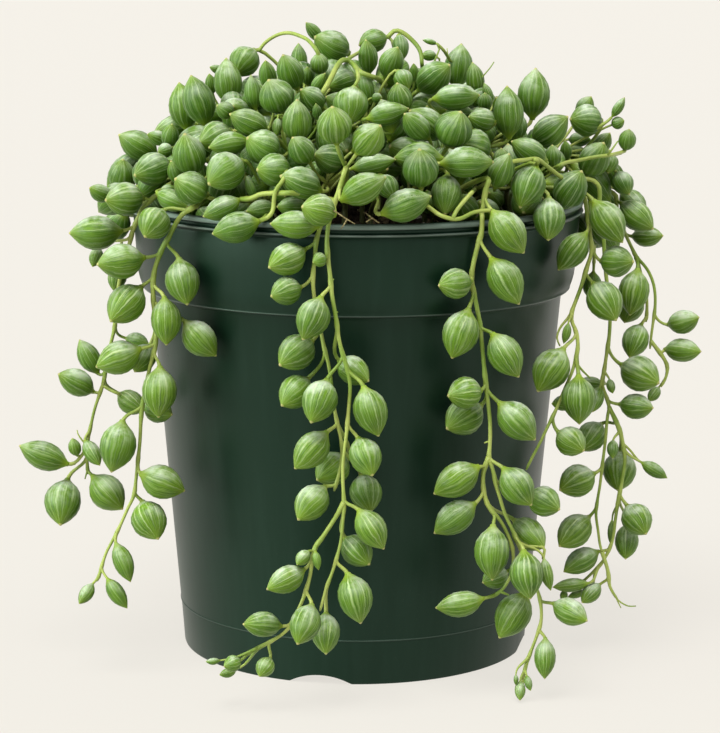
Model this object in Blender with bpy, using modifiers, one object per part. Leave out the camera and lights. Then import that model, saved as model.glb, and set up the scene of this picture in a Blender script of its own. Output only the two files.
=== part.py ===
"""A string of raindrops in a round nursery pot: a filled pot, its trailing strands and the mound above.

Lengths are in metres, +Z is up, and the origin is the middle of the pot's underside on the floor.
The strands and leaves that show from the front were read by hand from one picture, as places across
and down it. The view that the picture was taken from is given below, so each place becomes a line
of sight, and the pot's and the mound's own shapes say how far along it the leaf stands.
"""
import math
from typing import NamedTuple

import bmesh
import bpy
import numpy as np

MM = 0.001

POT_HEIGHT = 165.8 * MM
LIP_RADIUS = 82.5 * MM
LIP_BOTTOM = 161.3 * MM
BAND_BOTTOM = 135.2 * MM
BAND_RADIUS = 79.5 * MM
BODY_TOP_RADIUS = 75.0 * MM
MOULD_LINE_HEIGHT = 16.3 * MM
MOULD_LINE_RADIUS = 64.8 * MM
FOOT_RADIUS = 63.5 * MM
SOIL_TOP = 157.0 * MM

VIEW_MIDDLE_COLUMN = 360.0
VIEW_MIDDLE_ROW = 366.5
VIEW_FOCAL = 2718.7
VIEW_PITCH = 0.1801
VIEW_ROLL = 0.0047
VIEW_PLACE = np.array((0.00153, -0.9859, 0.2820))

MOUND_MIDDLE = np.array((0.0, 0.0, 150.0 * MM))
MOUND_REACH = np.array((91.0 * MM, 91.0 * MM, 66.0 * MM))
LAYER_DEPTH = 9.0 * MM
FARTHEST_TILT = math.radians(28.0)
ROUNDEST = 1.10

STEM_RADIUS = 1.05 * MM
LEAF_GAP = 0.45 * MM

WALL = 1.2 * MM
FLOOR = 1.5 * MM
BAND_ROUND = 5.0 * MM
LIP_NECK = 81.7 * MM
LIP_STEP = 0.7 * MM
INNER_LIP = 80.4 * MM
SOIL_RADIUS = 79.6 * MM
POT_SIDES = 32
POT_FACET_GAP = 0.1 * MM
CLEARANCE = 0.3 * MM
NOTCHES = 4
NOTCH_TURN = math.radians(-101.0)
NOTCH_HEIGHT = 2.8 * MM
NOTCH_ROUND = 22.0 * MM
NOTCH_REACH = 14.0 * MM
NOTCH_SIDES = 16

HOLE_SIDES = 4
HOLE_RADIUS = 2.3 * MM
HOLE_OVER = 2.0 * MM
STEM_END_GAP = 0.4 * MM

STEM_BODY = 1.1 * MM
STEM_SIDES = 4
SMALL_LEAF_SIDES = 4
BIG_LEAF_SIDES = 5
CHORD_ERROR = 0.42 * MM
BEFORE_STEM = 3.0 * MM
BEHIND_STEM = 5.0 * MM
LEAF_ROUNDS = 170
FINE_LEAF = 4.7 * MM
PLAIN_LEAF = 9.0 * MM
BIG_LEAF = 11.5 * MM
NECK_SHARE = 0.2
PETIOLE_ROOT = 0.5 * MM
BLADE_PLACES = (0.30, 0.68)
BLADE_SHARE = 0.95
MERGE = 0.000001

POT_COLOUR = (0.016, 0.038, 0.026)
SOIL_COLOUR = (0.06, 0.035, 0.02)
LEAF_COLOUR = (0.17, 0.29, 0.09)



class Leaf(NamedTuple):
    """A leaf as seen: its middle, which way its tip points, how wide and long it looks, its layer."""
    column: float
    row: float
    heading: float
    width: float
    length: float
    layer: int


class Strand(NamedTuple):
    """A trailing stem as seen: its root in the soil, its route, depths along it, and its leaves."""
    name: str
    root: tuple
    route: tuple
    depths: tuple
    twigs: tuple
    leaves: tuple


STRANDS = (
    Strand(
        "left_outer", (-62.0, -12.0),
        ((172, 183), (160, 192), (150, 201), (141, 212), (133, 230), (129, 246), (123, 263), (119, 284),
         (116, 305), (115, 325), (111, 343), (107, 360), (104, 380), (100, 393), (95, 408), (91, 425),
         (88, 441), (87, 458), (88, 474)),
        (-40.0, -34.0, -30.0, -26.0), (),
        (Leaf(130, 200, 183, 34, 42, 0), Leaf(101, 193, 155, 18, 27, 1), Leaf(96, 232, 182, 35, 54, 0),
         Leaf(96, 257, 250, 14, 22, 1), Leaf(89, 357, 118, 22, 40, 1), Leaf(76, 383, 152, 27, 42, 0),
         Leaf(131, 402, 325, 24, 34, 1), Leaf(137, 341, 345, 17, 26, 1), Leaf(44, 455, 158, 29, 53, 0),
         Leaf(76, 447, 105, 13, 20, 0), Leaf(91, 452, 300, 17, 31, 0), Leaf(64, 502, 260, 37, 50, 0),
         Leaf(104, 490, 311, 34, 47, 0))),
    Strand(
        "left_inner", (-50.0, -38.0),
        ((196, 206), (188, 210), (180, 217), (174, 227), (169, 237), (163, 247), (158, 259), (154, 273),
         (153, 290), (154, 308), (156, 325), (156, 339), (154, 352), (150, 367), (146, 385), (143, 402),
         (141, 419), (140, 440), (138, 460), (136, 479), (134, 495), (128, 508), (120, 526), (114, 538),
         (107, 551), (103, 562), (100, 573), (97, 581)),
        (-62.0, -58.0, -54.0, -52.0), (),
        (Leaf(155, 224, 235, 34, 37, 0), Leaf(121, 261, 188, 36, 50, 0), Leaf(126, 304, 228, 37, 50, 0),
         Leaf(186, 281, 280, 35, 49, 0), Leaf(170, 321, 272, 31, 49, 0), Leaf(200, 337, 312, 33, 48, 0),
         Leaf(119, 358, 202, 34, 49, 0), Leaf(157, 391, 268, 35, 52, 0), Leaf(158, 411, 345, 26, 32, 1),
         Leaf(142, 358, 240, 26, 34, 1), Leaf(119, 446, 257, 37, 54, 0), Leaf(162, 482, 338, 34, 49, 0),
         Leaf(146, 517, 292, 36, 45, 0), Leaf(123, 562, 290, 20, 43, 0), Leaf(117, 593, 303, 17, 37, 0),
         Leaf(88, 592, 235, 14, 26, 0))),
    Strand(
        "centre_left", (-24.0, -50.0),
        ((333, 200), (326, 214), (320, 228), (316, 242), (315, 257), (313, 275), (314, 295), (318, 315),
         (321, 332), (324, 347), (328, 362), (331, 380), (333, 398), (335, 412), (338, 426), (341, 440),
         (342, 452), (340, 468), (337, 481), (334, 491)),
        (-82.0, -86.0, -88.5, -88.0), (),
        (Leaf(295, 225, 177, 29, 50, 0), Leaf(287, 259, 207, 33, 44, 0), Leaf(286, 291, 197, 29, 35, 0),
         Leaf(296, 353, 217, 36, 45, 1), Leaf(295, 392, 226, 33, 42, 1), Leaf(311, 450, 229, 33, 50, 0),
         Leaf(332, 470, 218, 34, 42, 1), Leaf(313, 501, 231, 33, 46, 0), Leaf(366, 493, 285, 33, 42, 1))),
    Strand(
        "centre", (-4.0, -46.0),
        ((346, 168), (340, 188), (334, 204), (329, 222), (327, 240), (328, 258), (330, 275), (332, 295),
         (336, 318), (339, 340), (343, 355), (347, 368), (350, 385), (349, 405), (347, 428), (345, 446),
         (343, 465), (343, 485), (344, 503), (343, 520), (341, 540), (337, 557), (332, 573), (327, 586),
         (323, 600), (320, 611)),
        (-84.0, -92.0, -95.0, -95.0),
        (((344, 503), (337, 515), (330, 526), (322, 538), (315, 548), (312, 562), (310, 576), (306, 590),
          (301, 604), (294, 618), (287, 630), (275, 639), (258, 648), (244, 656)),),
        (Leaf(336, 126, 97, 36, 42, 0), Leaf(367, 139, 50, 33, 41, 0), Leaf(363, 189, 28, 32, 52, 0),
         Leaf(320, 211, 165, 33, 38, 0), Leaf(320, 260, 200, 15, 16, 0), Leaf(312, 318, 247, 34, 48, 0),
         Leaf(319, 401, 250, 36, 49, 0), Leaf(353, 371, 325, 29, 40, 1), Leaf(371, 411, 287, 35, 53, 0),
         Leaf(363, 456, 291, 33, 44, 0), Leaf(371, 529, 303, 31, 48, 0), Leaf(357, 551, 313, 31, 40, 1),
         Leaf(286, 579, 208, 27, 44, 0), Leaf(304, 558, 230, 14, 20, 0), Leaf(316, 560, 280, 9, 20, 0),
         Leaf(263, 626, 177, 26, 41, 0), Leaf(302, 622, 250, 31, 45, 0), Leaf(326, 633, 270, 29, 44, 1),
         Leaf(354, 598, 285, 35, 53, 0), Leaf(233, 663, 200, 17, 20, 0), Leaf(213, 661, 184, 7, 15, 0),
         Leaf(228, 672, 198, 10, 19, 1), Leaf(265, 667, 238, 19, 24, 0))),
    Strand(
        "right_centre", (34.0, -44.0),
        ((487, 178), (485, 192), (483, 208), (479, 225), (475, 243), (472, 262), (471, 278), (474, 293),
         (477, 308), (480, 325), (482, 345), (484, 365), (486, 385), (488, 402), (490, 422), (490, 442),
         (489, 458), (493, 470), (496, 485), (500, 498), (505, 514), (512, 529), (518, 543), (524, 560),
         (532, 577), (538, 592), (541, 606), (541, 622), (536, 638), (530, 654), (525, 669), (523, 681),
         (522, 691)),
        (-68.0, -76.0, -78.0, -78.0),
        (((489, 458), (484, 470), (483, 484), (485, 497), (490, 509), (499, 519), (507, 533), (513, 551),
          (512, 570), (506, 585), (498, 593), (489, 598)),),
        (Leaf(504, 232, 308, 36, 54, 0), Leaf(505, 281, 302, 36, 55, 0), Leaf(450, 282, 187, 31, 37, 0),
         Leaf(462, 333, 252, 37, 53, 0), Leaf(505, 355, 302, 35, 52, 0), Leaf(467, 393, 190, 33, 38, 0),
         Leaf(464, 417, 215, 37, 46, 1), Leaf(517, 421, 315, 35, 53, 0), Leaf(457, 480, 212, 34, 54, 0),
         Leaf(515, 487, 308, 34, 48, 0), Leaf(455, 518, 217, 32, 52, 0), Leaf(495, 550, 270, 36, 56, 0),
         Leaf(544, 502, 335, 31, 38, 1), Leaf(529, 534, 318, 32, 44, 1), Leaf(527, 573, 279, 34, 50, 0),
         Leaf(495, 577, 205, 24, 30, 1), Leaf(460, 603, 192, 26, 50, 0), Leaf(513, 615, 240, 36, 54, 1),
         Leaf(547, 574, 283, 13, 34, 0), Leaf(570, 612, 334, 27, 41, 0), Leaf(545, 658, 270, 22, 42, 0),
         Leaf(526, 684, 285, 8, 17, 0), Leaf(517, 681, 270, 5, 11, 0), Leaf(522, 701, 270, 11, 21, 0))),
    Strand(
        "right_inner", (56.0, -30.0),
        ((577, 190), (585, 202), (588, 218), (590, 235), (592, 250), (588, 264), (584, 277), (580, 290),
         (575, 303), (571, 317), (575, 329), (578, 343), (576, 358), (572, 372), (566, 386), (560, 400),
         (555, 412), (548, 426), (541, 441), (533, 456), (526, 470)),
        (-38.0, -42.0, -50.0, -60.0), (),
        (Leaf(606, 223, 306, 34, 52, 0), Leaf(573, 251, 234, 29, 48, 0), Leaf(617, 260, 0, 32, 37, 0),
         Leaf(602, 301, 303, 36, 48, 0), Leaf(551, 370, 240, 37, 52, 0), Leaf(576, 402, 272, 35, 50, 0),
         Leaf(563, 403, 185, 16, 24, 1), Leaf(572, 438, 325, 30, 36, 0), Leaf(566, 333, 258, 9, 22, 0))),
    Strand(
        "right_middle", (62.0, -8.0),
        ((592, 180), (600, 206), (603, 226), (604, 245), (605, 264), (607, 283), (610, 303), (610, 322),
         (609, 338), (606, 358), (604, 372), (602, 384), (606, 396), (609, 406), (607, 420), (606, 435),
         (604, 452), (602, 468), (600, 485), (597, 503), (596, 515), (598, 530), (600, 545), (602, 552)),
        (-14.0, -18.0, -22.0, -24.0),
        (((609, 406), (614, 417), (620, 431), (623, 445), (625, 459), (623, 475), (620, 492), (617, 508),
          (615, 523), (613, 538), (608, 552), (601, 564), (591, 574), (581, 583), (573, 588)),
         ((607, 554), (608, 571), (610, 587), (618, 600))),
        (Leaf(640, 374, 335, 36, 46, 0), Leaf(591, 383, 175, 13, 26, 1), Leaf(597, 399, 255, 15, 28, 0),
         Leaf(611, 386, 285, 9, 16, 0), Leaf(636, 406, 355, 26, 37, 0), Leaf(592, 437, 235, 29, 37, 1),
         Leaf(579, 482, 207, 33, 42, 0), Leaf(654, 470, 330, 14, 31, 0), Leaf(620, 471, 268, 34, 44, 1),
         Leaf(613, 449, 270, 12, 20, 0), Leaf(576, 531, 226, 32, 45, 0), Leaf(631, 518, 305, 31, 38, 0),
         Leaf(626, 541, 268, 24, 38, 1), Leaf(612, 532, 268, 8, 26, 1), Leaf(589, 561, 212, 25, 42, 0),
         Leaf(591, 593, 227, 18, 28, 0), Leaf(571, 586, 188, 14, 37, 0), Leaf(577, 594, 200, 8, 20, 1),
         Leaf(564, 595, 262, 8, 12, 0))),
    Strand(
        "right_outer", (64.0, 14.0),
        ((608, 190), (617, 210), (625, 233), (631, 246), (637, 258), (645, 266), (652, 279), (655, 293),
         (655, 308), (653, 323), (651, 338), (650, 349)),
        (6.0, 4.0, 0.0, 0.0),
        (((637, 258), (641, 275), (646, 292), (647, 308), (646, 322)),
         ((651, 343), (660, 353), (667, 365), (666, 377), (661, 387))),
        (Leaf(632, 203, 318, 24, 36, 1), Leaf(634, 216, 322, 29, 44, 0), Leaf(647, 236, 2, 21, 34, 1),
         Leaf(635, 291, 262, 31, 48, 0), Leaf(630, 307, 252, 28, 36, 1), Leaf(683, 321, 15, 24, 35, 0),
         Leaf(637, 341, 252, 27, 38, 0), Leaf(680, 352, 358, 24, 39, 0), Leaf(654, 394, 235, 12, 19, 1))),
)

MOUND_LEAVES = (
    Leaf(199, 101, 107, 33, 54, 0), Leaf(184, 107, 100, 30, 50, 1), Leaf(138, 147, 150, 30, 46, 1),
    Leaf(158, 138, 160, 15, 24, 2), Leaf(171, 136, 80, 18, 26, 1), Leaf(165, 150, 200, 15, 17, 1),
    Leaf(190, 154, 103, 34, 46, 0), Leaf(152, 171, 200, 34, 42, 0), Leaf(122, 174, 85, 27, 34, 1),
    Leaf(173, 206, 335, 22, 36, 1), Leaf(193, 193, 150, 34, 40, 0), Leaf(177, 172, 120, 20, 28, 1),
    Leaf(169, 191, 180, 11, 18, 1), Leaf(228, 82, 94, 29, 48, 0), Leaf(246, 65, 232, 31, 36, 1),
    Leaf(217, 69, 165, 9, 16, 1), Leaf(211, 84, 100, 12, 22, 1), Leaf(251, 94, 98, 17, 36, 1),
    Leaf(276, 96, 115, 36, 40, 0), Leaf(269, 76, 100, 18, 32, 1), Leaf(290, 72, 112, 27, 40, 0),
    Leaf(299, 60, 92, 17, 34, 1), Leaf(225, 110, 150, 18, 21, 0), Leaf(249, 123, 155, 28, 44, 0),
    Leaf(215, 138, 200, 34, 38, 1), Leaf(297, 122, 90, 30, 46, 0), Leaf(277, 127, 265, 10, 20, 1),
    Leaf(229, 144, 190, 24, 42, 0), Leaf(314, 32, 130, 13, 26, 1), Leaf(332, 45, 155, 33, 42, 0),
    Leaf(319, 64, 95, 19, 24, 0), Leaf(373, 41, 197, 24, 32, 1), Leaf(370, 59, 96, 20, 36, 0),
    Leaf(391, 63, 68, 25, 36, 0), Leaf(401, 47, 278, 17, 28, 1), Leaf(403, 80, 300, 20, 24, 0),
    Leaf(400, 98, 100, 26, 34, 1), Leaf(386, 113, 14, 23, 44, 0), Leaf(312, 99, 140, 24, 32, 1),
    Leaf(319, 84, 60, 13, 26, 1), Leaf(308, 76, 90, 13, 20, 2), Leaf(345, 84, 200, 26, 32, 2),
    Leaf(366, 88, 285, 17, 34, 1), Leaf(377, 98, 0, 11, 12, 1), Leaf(317, 112, 98, 10, 18, 1),
    Leaf(353, 106, 262, 36, 42, 0), Leaf(429, 56, 180, 11, 17, 1), Leaf(430, 42, 165, 6, 16, 0),
    Leaf(460, 70, 83, 29, 46, 1), Leaf(474, 80, 96, 19, 36, 1), Leaf(456, 97, 5, 27, 48, 0),
    Leaf(434, 78, 40, 32, 44, 0), Leaf(414, 73, 92, 10, 20, 1), Leaf(454, 130, 70, 39, 42, 0),
    Leaf(483, 119, 170, 24, 30, 1), Leaf(488, 93, 112, 10, 22, 1), Leaf(485, 102, 92, 15, 20, 1),
    Leaf(507, 113, 93, 31, 54, 0), Leaf(418, 131, 135, 25, 38, 0), Leaf(428, 118, 95, 15, 26, 2),
    Leaf(534, 94, 87, 33, 52, 0), Leaf(550, 130, 38, 31, 46, 0), Leaf(586, 120, 178, 33, 36, 0),
    Leaf(585, 107, 60, 18, 26, 1), Leaf(619, 109, 58, 10, 24, 0), Leaf(617, 121, 20, 13, 15, 0),
    Leaf(601, 144, 52, 18, 30, 1), Leaf(579, 143, 0, 15, 24, 1), Leaf(627, 140, 80, 18, 24, 0),
    Leaf(529, 151, 152, 26, 42, 0), Leaf(553, 156, 95, 17, 24, 1), Leaf(566, 151, 95, 12, 22, 2),
    Leaf(579, 155, 130, 22, 30, 1), Leaf(611, 166, 262, 18, 22, 0), Leaf(618, 181, 300, 22, 28, 0),
    Leaf(261, 150, 150, 36, 40, 0), Leaf(225, 174, 215, 39, 46, 0), Leaf(277, 166, 180, 34, 38, 0),
    Leaf(299, 153, 125, 27, 34, 0), Leaf(328, 158, 168, 30, 34, 1), Leaf(300, 183, 160, 33, 46, 0),
    Leaf(236, 227, 195, 32, 50, 0), Leaf(222, 207, 205, 24, 42, 0), Leaf(261, 210, 188, 20, 32, 1),
    Leaf(292, 206, 183, 20, 32, 1), Leaf(250, 187, 112, 10, 26, 1), Leaf(374, 164, 12, 20, 46, 1),
    Leaf(388, 187, 300, 22, 30, 1), Leaf(406, 205, 20, 33, 54, 0), Leaf(420, 168, 92, 37, 43, 0),
    Leaf(419, 156, 180, 34, 50, 1), Leaf(475, 148, 165, 37, 40, 1), Leaf(466, 165, 2, 32, 54, 0),
    Leaf(502, 171, 68, 26, 40, 0), Leaf(498, 157, 90, 17, 22, 1), Leaf(447, 192, 267, 31, 44, 1),
    Leaf(529, 187, 250, 35, 48, 0), Leaf(547, 218, 270, 33, 46, 0), Leaf(572, 190, 62, 34, 46, 0),
    Leaf(588, 178, 60, 31, 42, 1), Leaf(607, 184, 305, 20, 42, 1), Leaf(603, 197, 320, 16, 38, 2),
)


POT_OUTSIDE = np.array((
    (FOOT_RADIUS, 0.0), (MOULD_LINE_RADIUS, MOULD_LINE_HEIGHT), (BODY_TOP_RADIUS, BAND_BOTTOM - 5 * MM),
    (BAND_RADIUS, BAND_BOTTOM), (LIP_RADIUS, POT_HEIGHT)))
LIP_ROUND = 1.6 * MM
LIP_INSIDE = 78.0 * MM
CUP_RADIUS = 79.6 * MM

STEM_STEP = 3.0 * MM
STEM_GAP = 3.9 * MM
STEM_OFF_POT = 0.9 * MM
PETIOLE_RADIUS = 0.75 * MM
PETIOLE_LONGEST = 30.0 * MM
SHARPEST_BEND = 0.35

SHOOTS = 26
SHOOT_ROOT_REACH = 64.0 * MM
GOLDEN_ANGLE = math.pi * (3.0 - math.sqrt(5.0))

HIDDEN_SPREAD = 82
HIDDEN_SEED = 11
CREST_FACING = 0.34
STEM_ROUNDS = 140

BACK_TRAILS = (
    (12.0, 28.0), (42.0, 46.0), (62.0, 108.0), (86.0, 142.0), (111.0, 98.0), (138.0, 52.0), (167.0, 26.0),
)
BACK_RADIUS = 90.0 * MM
BACK_LEAF_STEP = 15.0 * MM

SPHERE_PLACES = np.array((0.11, 0.27, 0.45, 0.63, 0.80, 0.92))


def leaf_outline(place):
    """Half width of a leaf, as a share of its widest, at a share of its length from the neck."""
    return (4.0 * place * (1.0 - place)) ** 0.82


SPHERE_SIZES = leaf_outline(SPHERE_PLACES) * np.array((0.9, 1.0, 1.0, 1.0, 1.0, 0.9))


def sight(column, row):
    """Direction of the line of sight through a place in the picture."""
    across = column - VIEW_MIDDLE_COLUMN
    down = row - VIEW_MIDDLE_ROW
    right = (across * math.cos(VIEW_ROLL) + down * math.sin(VIEW_ROLL)) / VIEW_FOCAL
    rise = (across * math.sin(VIEW_ROLL) - down * math.cos(VIEW_ROLL)) / VIEW_FOCAL
    return np.array((right, math.cos(VIEW_PITCH) + rise * math.sin(VIEW_PITCH),
                     rise * math.cos(VIEW_PITCH) - math.sin(VIEW_PITCH)))


def seen(column, row, depth):
    """Point on the line of sight through a place in the picture, at a given y."""
    ray = sight(column, row)
    return VIEW_PLACE + ray * (depth - VIEW_PLACE[1]) / ray[1]


def unit(vector):
    """Vector of length one, or many of them."""
    return vector / np.linalg.norm(vector, axis=-1, keepdims=True)


def picture_scale(point):
    """Metres that one picture step covers at a point."""
    ahead = np.array((0.0, math.cos(VIEW_PITCH), -math.sin(VIEW_PITCH)))
    return float((point - VIEW_PLACE) @ ahead) / VIEW_FOCAL


def mound_surface(column, row):
    """Nearest point of the mound's surface on a line of sight, or where the line passes closest."""
    ray = unit(sight(column, row))
    start = (VIEW_PLACE - MOUND_MIDDLE) / MOUND_REACH
    step = ray / MOUND_REACH
    a = step @ step
    b = start @ step
    c = start @ start - 1.0
    inside = b * b - a * c
    travel = (-b - math.sqrt(inside)) / a if inside > 0.0 else -b / a
    return VIEW_PLACE + ray * travel


class Plant:
    """All leaves as arrays: middles, axes from neck to tip, half widths, lengths and strand numbers."""

    def __init__(self):
        """Start without a leaf."""
        self.middle = []
        self.axis = []
        self.half = []
        self.length = []
        self.strand = []
        self.seen = []

    def add(self, middle, axis, half, length, strand, is_seen):
        """Take in one leaf."""
        self.middle.append(middle)
        self.axis.append(unit(axis))
        self.half.append(half)
        self.length.append(length)
        self.strand.append(strand)
        self.seen.append(is_seen)

    def add_seen(self, leaf, middle, strand):
        """A leaf read from the picture: its length beyond what shows tips it toward the viewer."""
        scale = picture_scale(middle)
        slimness = min(max((34.0 - leaf.width) / 22.0, 0.0), 1.0)
        natural = 1.42 + 0.75 * slimness
        shown = max(leaf.length / leaf.width, 1.02)
        tip_on = 0.0
        if shown < natural:
            tip_on = math.acos(math.sqrt((shown ** 2 - 1.0) / (natural ** 2 - 1.0)))
            tip_on = min(tip_on, FARTHEST_TILT)
        slender = max(math.sqrt(shown ** 2 - math.sin(tip_on) ** 2) / math.cos(tip_on), ROUNDEST)
        heading = math.radians(leaf.heading)
        toward = -unit(sight(leaf.column, leaf.row))
        right = unit(np.cross(toward, (0.0, 0.0, -1.0)))
        up = np.cross(right, -toward)
        flat = right * math.cos(heading) + up * math.sin(heading)
        axis = flat * math.cos(tip_on) + toward * math.sin(tip_on)
        self.add(middle, axis, leaf.width * scale / 2.0, slender * leaf.width * scale, strand, True)

    def close(self):
        """Turn the lists into arrays, once all leaves are in."""
        self.middle = np.array(self.middle)
        self.axis = np.array(self.axis)
        self.half = np.array(self.half)
        self.length = np.array(self.length)
        self.strand = np.array(self.strand)
        self.seen = np.array(self.seen)

    def neck(self):
        """The end of each leaf that its petiole meets."""
        return self.middle - self.axis * self.length[:, None] * 0.5

    def spheres(self):
        """Centres and radii of the spheres that fill each leaf."""
        along = (SPHERE_PLACES - 0.5)[None, :, None] * self.length[:, None, None]
        centres = self.middle[:, None, :] + self.axis[:, None, :] * along
        return centres, self.half[:, None] * SPHERE_SIZES[None, :]


def resample(points, step):
    """Points at even steps along a smooth curve through the given ones."""
    points = np.asarray(points, dtype=float)
    padded = np.vstack((2 * points[0] - points[1], points, 2 * points[-1] - points[-2]))
    fine = []
    for a, b, c, d in zip(padded, padded[1:], padded[2:], padded[3:]):
        for t in np.linspace(0.0, 1.0, 12, endpoint=False):
            fine.append(0.5 * (2 * b + (c - a) * t + (2 * a - 5 * b + 4 * c - d) * t ** 2
                               + (3 * b - a - 3 * c + d) * t ** 3))
    fine.append(points[-1])
    fine = np.array(fine)
    run = np.concatenate(((0.0,), np.cumsum(np.linalg.norm(np.diff(fine, axis=0), axis=1))))
    count = max(int(round(run[-1] / step)), 2) + 1
    marks = np.linspace(0.0, run[-1], count)
    return np.column_stack([np.interp(marks, run, fine[:, k]) for k in range(3)])


def keep_off_pot(points, radius):
    """Push that takes round things of the given radius out of the pot and soil."""
    ring = np.hypot(points[:, 0], points[:, 1])
    outward = points[:, :2] / np.maximum(ring, 1e-9)[:, None]
    push_ring = np.zeros(len(points))
    push_rise = np.zeros(len(points))
    wall = np.interp(points[:, 2], POT_OUTSIDE[:, 1], POT_OUTSIDE[:, 0])
    low = points[:, 2] < POT_HEIGHT - LIP_ROUND
    beside = low & ((ring > LIP_INSIDE) | (points[:, 2] < SOIL_TOP - 6 * MM))
    push_ring = np.where(beside, np.maximum(wall + radius - ring, 0.0), push_ring)
    push_ring = np.where(low & ~beside, np.minimum(CUP_RADIUS - radius - ring, 0.0), push_ring)
    over = ~beside & (points[:, 2] < POT_HEIGHT + radius + LIP_ROUND)
    lip_ring = LIP_RADIUS - LIP_ROUND
    lip_rise = POT_HEIGHT - LIP_ROUND
    gap_ring = ring - lip_ring
    gap_rise = points[:, 2] - lip_rise
    gap = np.maximum(np.hypot(gap_ring, gap_rise), 1e-9)
    short = np.where(over, np.maximum(radius + LIP_ROUND - gap, 0.0), 0.0)
    push_ring = push_ring + short * gap_ring / gap
    push_rise = push_rise + short * gap_rise / gap
    above_soil = ~beside & (ring <= LIP_INSIDE + 2 * MM)
    push_rise = np.where(above_soil, np.maximum(push_rise, SOIL_TOP + radius - points[:, 2]), push_rise)
    push_rise = np.maximum(push_rise, 0.6 * MM + radius - points[:, 2])
    return np.column_stack((outward * push_ring[:, None], push_rise))


def trail_routes(strand):
    """A seen strand's stem and its twigs as routes in space."""
    root = np.array((strand.root[0] * MM, strand.root[1] * MM, SOIL_TOP))
    route = np.array(strand.route, dtype=float)
    run = np.concatenate(((0.0,), np.cumsum(np.linalg.norm(np.diff(route, axis=0), axis=1))))
    depths = np.interp(run / run[-1], np.linspace(0.0, 1.0, len(strand.depths)), strand.depths) * MM
    shown = np.array([seen(c, r, y) for (c, r), y in zip(route, depths)])
    rise = root + np.array((0.0, 0.0, 14.0 * MM))
    routes = [resample(np.vstack((root - (0.0, 0.0, 6.0 * MM), root, rise, shown)), STEM_STEP)]
    for twig in strand.twigs:
        start = np.argmin(np.linalg.norm(route - np.array(twig[0]), axis=1))
        points = np.array([seen(c, r, depths[start]) for c, r in twig])
        nearest = np.argmin(np.linalg.norm(routes[0] - points[0], axis=1))
        points[0] = routes[0][nearest]
        routes.append(resample(points, STEM_STEP))
    return routes


def back_routes(angle, drop):
    """A strand out of sight, over the lip at an angle and down by a drop in millimetres."""
    turn = math.radians(angle)
    out = np.array((math.cos(turn), math.sin(turn), 0.0))
    side = np.array((-math.sin(turn), math.cos(turn), 0.0))
    high = np.array((0.0, 0.0, 1.0))
    root = out * 58.0 * MM + high * SOIL_TOP
    knots = [root - high * 6 * MM, root, root + high * 12 * MM,
             out * 78.0 * MM + high * (POT_HEIGHT + 7 * MM),
             out * (BACK_RADIUS - 2 * MM) + high * (POT_HEIGHT - 2 * MM)]
    for share in (0.33, 0.66, 1.0):
        sway = 3.0 * MM * math.sin(5.0 * share + turn * 3.0)
        knots.append(out * BACK_RADIUS + side * sway + high * (POT_HEIGHT - drop * MM * share))
    return [resample(np.array(knots), STEM_STEP)]


def spread_roots(free, fixed, gap):
    """Move free points in the plane until they keep a gap to each other and to the fixed ones."""
    free = free.copy()
    for _ in range(80):
        everything = np.vstack((free, fixed))
        for k in range(len(free)):
            away = free[k] - everything
            far = np.linalg.norm(away, axis=1)
            far[k] = 1.0
            near = far < gap
            if near.any():
                free[k] += (away[near] / far[near, None] * (gap - far[near, None])).sum(axis=0) * 0.5
        ring = np.linalg.norm(free, axis=1)
        free *= np.minimum(1.0, SHOOT_ROOT_REACH / ring)[:, None]
    return free


def dome_directions(count, lowest):
    """Even directions over a dome, from its top down to a lowest sine of height."""
    found = []
    for k in range(count):
        high = 1.0 - (1.0 - lowest) * (k + 0.5) / count
        ring = math.sqrt(max(1.0 - high * high, 0.0))
        found.append((ring * math.cos(GOLDEN_ANGLE * k), ring * math.sin(GOLDEN_ANGLE * k), high))
    return np.array(found)


def part_stems(stems, owners, loose):
    """Move stems of different strands apart where they come too close, and off the pot."""
    points = np.vstack(stems)
    owner = np.concatenate([np.full(len(s), o) for s, o in zip(stems, owners)])
    ease = np.concatenate([np.full(len(s), 1.0 if free else 0.25) for s, free in zip(stems, loose)])[:, None]
    first = np.concatenate(((0,), np.cumsum([len(s) for s in stems])))
    fixed = np.zeros(len(points), dtype=bool)
    for k, o in enumerate(owners):
        is_twig = k > 0 and owners[k - 1] == o
        fixed[first[k]:first[k] + (1 if is_twig else 4)] = True
    for step in range(STEM_ROUNDS):
        if step % 10 == 0:
            far = np.linalg.norm(points[:, None, :] - points[None, :, :], axis=2)
            far[owner[:, None] == owner[None, :]] = 1.0
            pairs = np.argwhere(np.triu(far < STEM_GAP + 8 * MM, 1))
        a, b = pairs[:, 0], pairs[:, 1]
        away = points[a] - points[b]
        far = np.linalg.norm(away, axis=1, keepdims=True) + 1e-9
        shove = away / far * np.maximum(STEM_GAP - far, 0.0)
        push = np.zeros_like(points)
        np.add.at(push, a, shove * ease[a] / (ease[a] + ease[b]))
        np.add.at(push, b, -shove * ease[b] / (ease[a] + ease[b]))
        spread = push.copy()
        for _ in range(3):
            eased = spread.copy()
            for k in range(len(stems)):
                piece = spread[first[k]:first[k + 1]]
                eased[first[k] + 1:first[k + 1] - 1] = (piece[:-2] + piece[1:-1] * 2 + piece[2:]) / 4
            spread = eased
        move = 0.3 * push + 0.7 * spread + keep_off_pot(points, STEM_RADIUS + STEM_OFF_POT)
        points = points + np.where(fixed[:, None], 0.0, move)
    return [points[first[k]:first[k + 1]] for k in range(len(stems))]


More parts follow.
